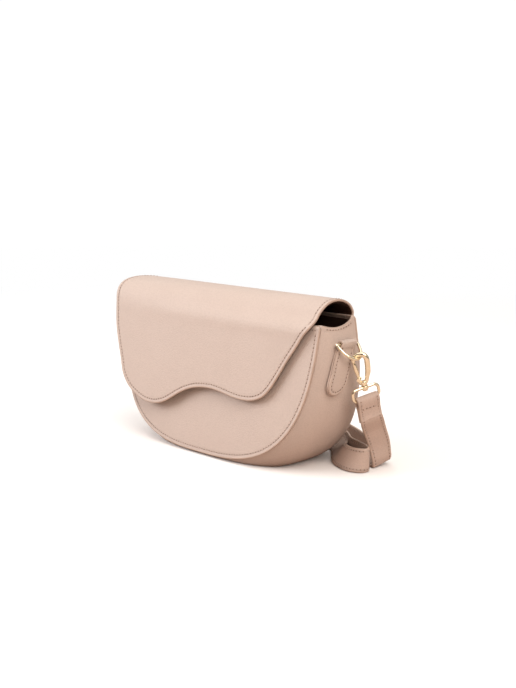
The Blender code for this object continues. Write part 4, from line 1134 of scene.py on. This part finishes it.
def make_tab(word, hand, looks):
    """A strip folded over the ring's bar, its two legs sewn to the gusset."""
    levels = np.linspace(0, 1, 25)
    ys = TAB_OFFSET - levels**TAB_SLANT_POWER * TAB_SLANT
    zs = FOLD_Z - levels * TAB_LENGTH
    xs = np.array([skin_x(y, z) for y, z in zip(ys, zs)]) + SEAM_GAP + TAB_LEATHER / 2
    apart = 2 * TAB_FOLD_RADIUS * np.maximum(0.0, 1 - levels * TAB_CLOSING)
    apart = np.maximum(apart, TAB_LEATHER + SEAM_GAP)
    turned = pi * np.arange(1, 12) / 12
    bar_x = xs[0] + TAB_FOLD_RADIUS
    fold_x, fold_z = bar_x - np.cos(turned) * TAB_FOLD_RADIUS, FOLD_Z + np.sin(turned) * TAB_FOLD_RADIUS
    fold = np.stack([fold_x, 0 * turned + TAB_OFFSET, fold_z], 1)
    inner, outer = (np.stack([xs + d, ys, zs], 1) for d in (0.0, apart))
    line = evenly(np.concatenate([inner[::-1], fold, outer]), 0.0005)
    along = lengths(line)
    flat = np.gradient(line, axis=0)
    flat[:, 1] = 0.0
    flat = unit(flat)
    normal = np.stack([flat[:, 2], flat[:, 1], -flat[:, 0]], 1)
    middle = along[-1] / 2

    def place(u, v, depth):
        out = unit(sample(u, along, normal))
        made = sample(u, along, line) - out * (TAB_LEATHER / 2 - depth)[:, None]
        made[:, 1] += v
        return handed(made, hand)

    def half_at(u):
        t = np.clip((abs(u - middle) - TAB_FOLD_RADIUS * pi / 2) / TAB_LENGTH, 0, 1)
        share = TAB_FOLD_SHARE + (1 - TAB_FOLD_SHARE) * np.clip(t * TAB_WIDENING, 0, 1) ** 1.5
        end = along[-1] - middle - abs(u - middle)
        cut = np.clip(1 - end / (TAB_WIDTH / 2), 0, 1)
        return TAB_WIDTH / 2 * share * np.sqrt(np.maximum(0.0, 1 - cut**2))

    def relief(distance):
        inside = distance - TAB_STITCH_INSET
        groove = GROOVE_DEPTH * np.exp(-((inside / TAB_GROOVE_WIDTH) ** 2))
        return TAB_PUFF * (1 - np.exp(-((np.maximum(inside, 0.0) / TAB_SWELL_REACH) ** 2))) - groove

    us = middle + middle * np.sin(np.linspace(-pi / 2, pi / 2, 160))
    loop = np.concatenate([np.stack([us, half_at(us)], 1), np.stack([us[::-1], -half_at(us[::-1])], 1)[1:-1]])
    shape = Shape()
    cut = patch(shape, loop, place, TAB_LEATHER, relief, (0, 1, 0), 0.002, TAB_STITCH_INSET)
    row = inset_loop(cut, TAB_STITCH_INSET)
    keep = row[:, 0] > middle + TAB_FOLD_RADIUS * TAB_STITCH_START
    first = int(np.argmax(keep & ~np.roll(keep, 1)))
    row = np.roll(row, -first, 0)[: int(keep.sum())]
    sew(shape, row, place, TAB_STITCH_PITCH, -GROOVE_DEPTH)
    across = row[0, 0]
    sew(shape, np.array([(across, -TAB_CROSS_HALF), (across, TAB_CROSS_HALF)]), place, TAB_STITCH_PITCH)
    dress(shape, f"tab_{word}_leather", looks["tab"], "leather_tab", f"tab_{word}", "bag")


def make_ring(word, hand, looks):
    down = handed((sin(RING_TILT), 0.0, -cos(RING_TILT)), hand)
    half = TAB_WIDTH / 2 * TAB_FOLD_SHARE + RING_SIDE_CLEARANCE + RING_WIRE
    angle = np.linspace(0, pi, 72)
    bow = np.outer(half * np.cos(angle), (0, 1, 0)) + down * (RING_REACH * np.sin(angle))[:, None]
    bar = np.outer(half * np.linspace(-RING_BAR_SHARE, RING_BAR_SHARE, 24), (0, 1, 0))
    path = np.concatenate([bar, bow]) + joint_place(f"ring_{word}_swing")
    shape = Shape()
    tube(shape, path, RING_WIRE, np.cross(down, (0, 1, 0)), cyclic=True)
    gild(shape, looks, f"ring_{word}_wire", f"ring_{word}", f"ring_{word}")


def frame_from(origin, up, wide):
    """A frame with its z along up and its x as near to wide as that allows."""
    wide = (wide - up * wide.dot(up)).normalized()
    turn = Matrix((wide, up.cross(wide), up)).transposed().to_4x4()
    return Matrix.Translation(origin) @ turn


def hook_frame(word, hand):
    up = Vector(handed(-Vector(HOOK_LEAN).normalized(), hand))
    return frame_from(Vector(joint_place(f"hook_{word}_tilt")), up, Vector(handed(HOOK_OUT, hand)))


def make_hook(word, hand, looks):
    frame_at = hook_frame(word, hand)
    top = RING_WIRE + HOOK_CLEARANCE + HOOK_WIRE - HOOK_BEND
    back = [(x * HOOK_BEND, z * HOOK_YOKE_DROP) for x, z in HOOK_BACK_SHARES]
    bend = [(HOOK_BEND * cos(a), top + HOOK_BEND * sin(a)) for a in np.linspace(0, pi, 13)]
    path = catmull([(-GATE_PIVOT_OFFSET, -HORN_DROP), *back, *bend, (-HOOK_BEND, -HOOK_TIP_DROP)], 5)
    along = lengths(path)
    share = along / along[-1]
    rise, fall = (share - SPINE_START[0]) / SPINE_START[1], (SPINE_END[0] - share) / SPINE_END[1]
    swell = np.clip(np.minimum(rise, fall), 0, 1)
    swell = swell * swell * (3 - 2 * swell)
    radii = HOOK_WIRE + (HOOK_SPINE - HOOK_WIRE) * swell
    radii *= np.clip(HOOK_TIP_SHARE + (1.0 - share) * HOOK_TIP_STEEPNESS, HOOK_TIP_SHARE, 1.0)
    direction = unit(np.gradient(path, axis=0))
    outward = np.stack([direction[:, 1], -direction[:, 0]], 1)
    path = path + outward * (radii - HOOK_WIRE)[:, None] * swell[:, None]
    flat = np.stack([path[:, 0], 0 * path[:, 0], path[:, 1]], 1)
    shape = Shape()
    tube(shape, into(frame_at, flat), radii, axis_of(frame_at, 1), sides=28)
    yoke_low, yoke_high = (-HOOK_YOKE_DROP + d for d in YOKE_SPAN)
    for radius, low, high, bevel in (
        (YOKE_RADIUS, yoke_low, yoke_high, YOKE_BEVEL),
        (STEM_RADIUS, HEAD_LOW - STEM_HEAD_THICKNESS / 2, -HOOK_YOKE_DROP, FINE_BEVEL),
        (STEM_HEAD_RADIUS, HEAD_LOW - STEM_HEAD_THICKNESS, HEAD_LOW, BEVEL),
    ):
        lathe(shape, rounded_rod(radius, low, high, bevel), frame_at)
    knuckle = Vector((-GATE_PIVOT_OFFSET, 0.0, -GATE_PIVOT_DROP))
    sideways = Matrix.Rotation(-pi / 2, 4, "X")
    pin = frame_at @ Matrix.Translation(knuckle) @ sideways
    for face in (-1, 1):
        low, high = sorted((face * (GATE_RADIUS + PIN_GAP), face * LUG_HALF_WIDTH))
        lathe(shape, rounded_rod(LUG_RADIUS, low, high, BEVEL), pin, sides=32)
    gild(shape, looks, f"hook_{word}_body", f"hook_{word}", f"hook_{word}")
    shape = Shape()
    reach = LUG_HALF_WIDTH + PIN_GAP
    lathe(shape, rounded_rod(GATE_PIN_RADIUS, -reach, reach, FINE_BEVEL), pin)
    gild(shape, looks, f"gate_pin_{word}_rod", f"gate_pin_{word}", f"hook_{word}")
    make_gate(word, frame_at, knuckle, sideways, looks)
    make_loop(word, hand, frame_at, looks)


def make_gate(word, frame_at, knuckle, sideways, looks):
    """The gate: a flat bar with a round eye on its pin and a fuller middle for the thumb."""
    tip = Vector((-HOOK_BEND, 0.0, -HOOK_TIP_DROP)) - knuckle
    place = frame_at @ Matrix.Translation(knuckle) @ Matrix.Rotation(atan2(tip.x, tip.z), 4, "Y")
    high = tip.length - GATE_TIP_CLEARANCE
    zs = np.linspace(0.0006, high, 24)
    radii = GATE_RADIUS * np.interp(zs / high, *GATE_FULLNESS)
    shape = Shape()
    path = into(place, np.outer(zs, (0, 0, 1)))
    tube(shape, path, radii, axis_of(place, 1), flat=np.interp(zs / high, *GATE_WIDTH))
    eye = rounded_rod(GATE_EYE_RADIUS, -GATE_RADIUS, GATE_RADIUS, BEVEL)
    lathe(shape, eye, place @ sideways, sides=32)
    gild(shape, looks, f"hook_gate_{word}_bar", f"hook_gate_{word}", f"gate_{word}")


def loop_frame(hook, hand):
    up = hook.to_3x3() @ Vector((0, 0, 1))
    return frame_from(hook.translation, up, Vector(handed(LOOP_WIDE, hand)))


def make_loop(word, hand, hook, looks):
    """The swivel loop, a rounded oblong of wire, and its boss, bored for the hook's stem."""
    place = loop_frame(hook, hand)
    half = STRAP_WIDTH / 2 + LOOP_SIDE_CLEARANCE + LOOP_WIRE
    top = BOSS_HIGH - BOSS_HEIGHT / 2
    path = []
    for x, z, quarter in ((half, top, 0), (half, LOOP_BAR, 1), (-half, LOOP_BAR, 2), (-half, top, 3)):
        cx = x - LOOP_CORNER * (1 if x > 0 else -1)
        cz = z - LOOP_CORNER * (1 if z == top else -1)
        for k in range(9):
            angle = pi / 2 * (1 - quarter - k / 8)
            path.append((cx + cos(angle) * LOOP_CORNER, 0.0, cz + sin(angle) * LOOP_CORNER))
    shape = Shape()
    tube(shape, into(place, evenly(path, 0.0006, True)), LOOP_WIRE, axis_of(place, 1), cyclic=True)
    inner, bevel = STEM_RADIUS + STEM_CLEARANCE, BOSS_BEVEL
    outer, low, high = BOSS_RADIUS - bevel, BOSS_HIGH - BOSS_HEIGHT, BOSS_HIGH
    ring = [(inner, low), (outer, low)]
    for a in np.linspace(0.3, pi / 2, 4):
        ring.append((outer + bevel * sin(a), low + bevel - bevel * cos(a)))
    for a in np.linspace(0, pi / 2 - 0.3, 4):
        ring.append((outer + bevel * cos(a), high - bevel + bevel * sin(a)))
    lathe(shape, ring + [(outer, high), (inner, high)], place, bored=True)
    gild(shape, looks, f"swivel_loop_{word}_wire", f"swivel_loop_{word}", f"swivel_{word}")


# The strap


def strap_end(hand, place):
    """The folded end on one side, from the tail's tip over the loop's bar and down."""
    turn = place.to_3x3()
    wide = turn @ Vector((1, 0, 0))
    down = turn @ Vector((0, 0, -1))
    bar = place @ Vector((0, 0, LOOP_BAR))
    out = wide.cross(down)
    out = out if out.x * hand > 0 else -out
    bend = LOOP_WIRE + HOOK_CLEARANCE + STRAP_THICKNESS / 2
    close = (STRAP_THICKNESS + STRAP_LAYER_GAP) / 2
    legs = [(STRAP_TAIL * along, close + (bend - close) * share) for along, share in STRAP_TAIL_SHARES]
    line = [(-side, along) for along, side in legs]
    line += [(bend * cos(a), -bend * sin(a)) for a in (pi - pi * k / 8 for k in range(9))]
    line += [(side, along) for along, side in reversed(legs)]
    return [(np.array(bar + out * a + down * b), np.array(wide)) for a, b in line]


def strap_line(places):
    """The strap's middle line, its width's direction and its face's, from end to end."""
    ends = {}
    for hand in (1, -1):
        rise = []
        for x, y, z, wide in reversed(STRAP_FOOT_SHARES):
            centre = np.array((x * HALF_WIDTH * hand, y * BOTTOM_DEPTH / 2, z * STRAP_WIDTH))
            rise.append((centre, unit(handed(wide, hand))))
        ends[hand] = strap_end(hand, places[hand]) + rise
    lay = []
    for x, y, *wide in STRAP_LAY_SHARES:
        wide = unit(wide[0] if wide else (0.0, 0.0, 1.0))
        flat = sqrt(max(0.0, 1 - wide[2] ** 2))
        z = STRAP_FLOOR_GAP + STRAP_WIDTH / 2 * abs(wide[2]) + STRAP_THICKNESS / 2 * flat
        lay.append((np.array((x * HALF_WIDTH, y * BOTTOM_DEPTH / 2, z)), wide))
    rows = np.array([np.concatenate(s) for s in ends[1] + lay + ends[-1][::-1]])
    spans = np.linalg.norm(np.diff(rows[:, :3], axis=0), axis=1)
    made = catmull(rows, [max(2, int(round(span / STRAP_STEP))) for span in spans])
    centre, wide = made[:, :3], unit(made[:, 3:])
    along = unit(np.gradient(centre, axis=0))
    wide = unit(wide - along * np.sum(along * wide, axis=1, keepdims=True))
    normal = np.cross(along, wide)
    reach = abs(wide[:, 2]) * STRAP_WIDTH / 2 + abs(normal[:, 2]) * STRAP_THICKNESS / 2
    low = centre[:, 2] - reach - STRAP_FLOOR_GAP
    settled = np.where(low < STRAP_SETTLE, np.maximum(0.0, low) ** 2 / STRAP_SETTLE, low)
    return centre + np.outer(settled - low, (0, 0, 1)), wide, normal


def strap_piece(centre, wide, normal, start, tip=None, cross=None):
    """One stretch of the strap, with its stitches.

    tip is the row that is the strap's cut end, 0 or -1. cross is the length at which the folded
    end is sewn across.
    """
    half, thick = STRAP_WIDTH / 2, STRAP_THICKNESS / 2
    flat = half - thick
    columns = np.linspace(-1, 1, 9)
    arc = np.linspace(pi / 2, -pi / 2, 7)[1:-1]
    section = [(a * flat, thick * (1.0 + STRAP_CROWN * (1 - a * a)), 0) for a in columns]
    section += [(flat + thick * cos(t), thick * sin(t), 1) for t in arc]
    section += [(-a, -b, painted) for a, b, painted in section]
    offset = np.array([(a, b) for a, b, _ in section])
    points = centre[:, None] + wide[:, None] * offset[None, :, :1] + normal[:, None] * offset[None, :, 1:]
    rows, sides = len(centre), len(section)
    uv = np.stack(np.meshgrid(lengths(centre) + start, lengths(offset), indexing="ij"), 2)
    edge = np.repeat((half - abs(offset[:, 0]))[None], rows, 0)
    painted = [1 if section[j][2] or section[(j + 1) % sides][2] else 0 for j in range(sides)]
    faces, kinds = bands(rows, sides), painted * (rows - 1)
    caps = {0: faces[-2], -1: faces[-1]}
    faces = faces[:-2]
    if tip is not None:
        faces.append(caps[tip])
        kinds.append(1)
    shape = Shape()
    points = points.reshape(-1, 3)
    shape.add(points, faces, kinds, uv, edge, flip=turned_in(points, faces, centre))
    for face in (1, -1):
        for row in (1, -1):
            across = wide * row * (half - STRAP_STITCH_INSET)
            line = centre + across + normal * face * thick * STRAP_STITCH_RISE
            stitches(shape, line, normal * face)
    if cross is not None:
        k = int(np.argmin(abs(lengths(centre) - cross)))
        spread = np.linspace(-STRAP_CROSS_HALF, STRAP_CROSS_HALF, 20)
        for face in (1, -1):
            line = centre[k] + wide[k] * spread[:, None] + normal[k] * face * thick * STRAP_CROSS_RISE
            stitches(shape, line, np.repeat([normal[k] * face], 20, 0), kinds=(3, 5))
    return shape


def turned_in(points, faces, centre):
    """True if the first faces of a strip look towards its centre line."""
    a, b, c, d = (points[i] for i in faces[0])
    return bool(np.dot(np.cross(b - a, c - a), (a + b + c + d) / 4 - centre[0]) < 0)


def make_strap(looks):
    places = {hand: loop_frame(hook_frame(word, hand), hand) for word, hand in HANDS}
    centre, wide, normal = strap_line(places)
    along = lengths(centre)

    def piece(name, a, b, node, bodies, reach, tip=None, cross=None):
        part = slice(min(a, b), max(a, b) + 1)
        shape = strap_piece(centre[part], wide[part], normal[part], along[part.start], tip, cross)
        dress(shape, name, looks["strap"], "leather_strap", node, *bodies, **reach)

    lay = []
    for word, hand in HANDS:
        fold = np.array(places[hand] @ Vector((0, 0, LOOP_BAR + FOLD_RISE)))
        bar = int(np.argmin(np.linalg.norm(centre - fold, axis=1)))
        cuts = [int(np.argmin(abs(along - (along[bar] + hand * r)))) for r in np.cumsum(STRAP_STRETCHES)]
        tip = 0 if hand == 1 else -1
        end = range(len(centre))[tip]
        cross = along[bar] - along[min(end, cuts[0])] + hand * STRAP_CROSS_DROP
        piece(f"strap_{word}_end", end, cuts[0], None, [f"swivel_{word}"], {}, tip, cross)
        bodies = [f"swivel_{word}", f"hook_{word}", f"ring_{word}", "bag"]
        for k, stretch in enumerate(("neck", "bend", "fall")):
            a, b = cuts[k], cuts[k + 1]
            trim = (centre[b] - centre[a]) * STRAP_TRIM
            reach = {"start": tuple(centre[a] + trim), "end": tuple(centre[b] - trim)}
            piece(f"strap_{word}_{stretch}", a, b, None, bodies[k : k + 2], reach)
        lay.append(cuts[-1])
    piece("strap_lay", *lay, "strap", ["bag"], {})
    print(f"strap length {along[-1]:.3f} m")


def make_snap(looks):
    """Nodes of the snap keep their solids' shape and take a metal finish."""
    for node in ("snap_socket", "snap_stud", "snap_washer"):
        obj = frame["nodes"][node]
        obj.data.materials.clear()
        obj.data.materials.append(looks["steel"][0])


# Stage


def make_camera():
    back = Vector((sin(AZIMUTH) * cos(ELEVATION), -cos(AZIMUTH) * cos(ELEVATION), sin(ELEVATION)))
    right = Vector((cos(AZIMUTH), sin(AZIMUTH), 0.0))
    up = right.cross(-back)
    data = bpy.data.cameras.new("camera")
    data.sensor_width = SENSOR_MM
    data.lens = SENSOR_MM * FOCAL_PIXELS / IMAGE_HEIGHT_PIXELS
    camera = bpy.data.objects.new("camera", data)
    bpy.context.scene.collection.objects.link(camera)
    place = back * DISTANCE + right * AIM_RIGHT + up * AIM_UP + Vector((0.0, 0.0, AIM_LIFT))
    camera.matrix_world = Matrix.Translation(place) @ Matrix((right, up, back)).transposed().to_4x4()
    bpy.context.scene.camera = camera


def area_light(name, place, size, power, colour):
    data = bpy.data.lights.new(name, "AREA")
    data.shape = "RECTANGLE"
    data.size, data.size_y = size
    data.energy = power
    data.color = colour
    obj = bpy.data.objects.new(name, data)
    bpy.context.scene.collection.objects.link(obj)
    obj.location = place
    obj.rotation_mode = "QUATERNION"
    obj.rotation_quaternion = (Vector(LIGHT_AIM) - Vector(place)).to_track_quat("-Z", "Y")


def make_floor():
    f = Finish("floor_paint")
    where = f.where()
    f.surface(Base_Color=f.mix(f.noise(where, 3.0, 3.0), FLOOR_DEEP, FLOOR_COLOUR), Roughness=0.8)
    # The floor gives back less light than it shows, as a small sweep of paper in a dark room does
    dim = f.add("BsdfDiffuse", {"Color": FLOOR_BOUNCE})
    seen = f.add("LightPath").outputs["Is Camera Ray"]
    far = f.ramp(f.add("VectorMath", {0: where}, operation="LENGTH").outputs["Value"], *FLOOR_FADE)
    lit = f.add("MixShader", {0: far, 1: f.shader.outputs[0], 2: f.add("Emission").outputs[0]})
    both = f.add("MixShader", {0: seen, 1: dim.outputs[0], 2: lit.outputs[0]})
    f.set(f.tree.nodes["Material Output"].inputs["Surface"], both.outputs[0])
    bpy.ops.mesh.primitive_circle_add(vertices=96, radius=FLOOR_RADIUS, fill_type="NGON")
    floor = bpy.context.object
    floor.name = "floor"
    floor.data.materials.append(f.material)


def make_world():
    """White to the camera. To the bag, a room that is brighter above and has a dark end."""
    world = bpy.data.worlds.new("studio")
    bpy.context.scene.world = world
    f = Finish("studio", world)
    white = f.tree.nodes["Background"]
    f.set(white.inputs["Color"], (1.0, 1.0, 1.0))
    f.set(white.inputs["Strength"], BACKDROP)
    where = f.add("TexCoord").outputs["Generated"]
    rise = f.ramp(f.add("SeparateXYZ", {0: where}).outputs["Z"], 0.05, 0.75, ROOM_LOW, ROOM_HIGH)
    towards = f.add("VectorMath", {0: where, 1: DARK_WALL}, operation="DOT_PRODUCT").outputs["Value"]
    wall = f.ramp(towards, 0.45, 0.80, 1.0, 0.05)
    room = f.add("Background", {"Color": ROOM_COLOUR, "Strength": f.math("MULTIPLY", rise, wall)})
    seen = f.add("LightPath").outputs["Is Camera Ray"]
    choice = f.add("MixShader", {0: seen, 1: room.outputs[0], 2: white.outputs[0]})
    f.set(f.tree.nodes["World Output"].inputs["Surface"], choice.outputs[0])


def make_stage():
    make_floor()
    make_world()
    for light in LIGHTS:
        area_light(*light)
    bpy.context.scene.view_settings.view_transform = "Standard"


def main():
    make_camera()
    make_stage()
    edge = edge_paint("edge_paint", EDGE_COLOUR)
    # The hole finishes paint the shade inside the stitch holes
    sewing = [thread("thread", THREAD_COLOUR), hole("needle_hole_shade", HOLE_SHADE_COLOUR)]
    flesh = suede("flesh_side", SUEDE_COLOUR)
    cloth = woven("lining_cloth", LINING_COLOUR)
    body = leather("body_leather", BLUSH, BLUSH_DEEP)
    tab = leather("tab_leather", BLUSH, BLUSH_DEEP, TAB_STITCH_INSET)
    strap = leather("strap_leather", STRAP_COLOUR, shade(STRAP_COLOUR, 0.88), STRAP_STITCH_INSET)
    looks = {
        "leather": [body, edge, flesh, *sewing],
        "tab": [tab, edge, flesh, *sewing],
        "strap": [strap, edge, flesh, sewing[0], hole("faint_hole_shade", FAINT_HOLE_SHADE_COLOUR), sewing[1]],
        "lining": [cloth, cloth, cloth, thread("lining_thread", shade(LINING_COLOUR, 1.6)), sewing[1]],
        "gold": [polished("pale_gold", GOLD_COLOUR, 0.13, 0.06)],
        "steel": [polished("snap_steel", STEEL_COLOUR, 0.26, 0.10)],
    }
    make_panels(looks)
    make_gusset(looks)
    make_flap(looks)
    make_snap(looks)
    for word, hand in HANDS:
        make_tab(word, hand, looks)
        make_ring(word, hand, looks)
        make_hook(word, hand, looks)
    make_strap(looks)


main()
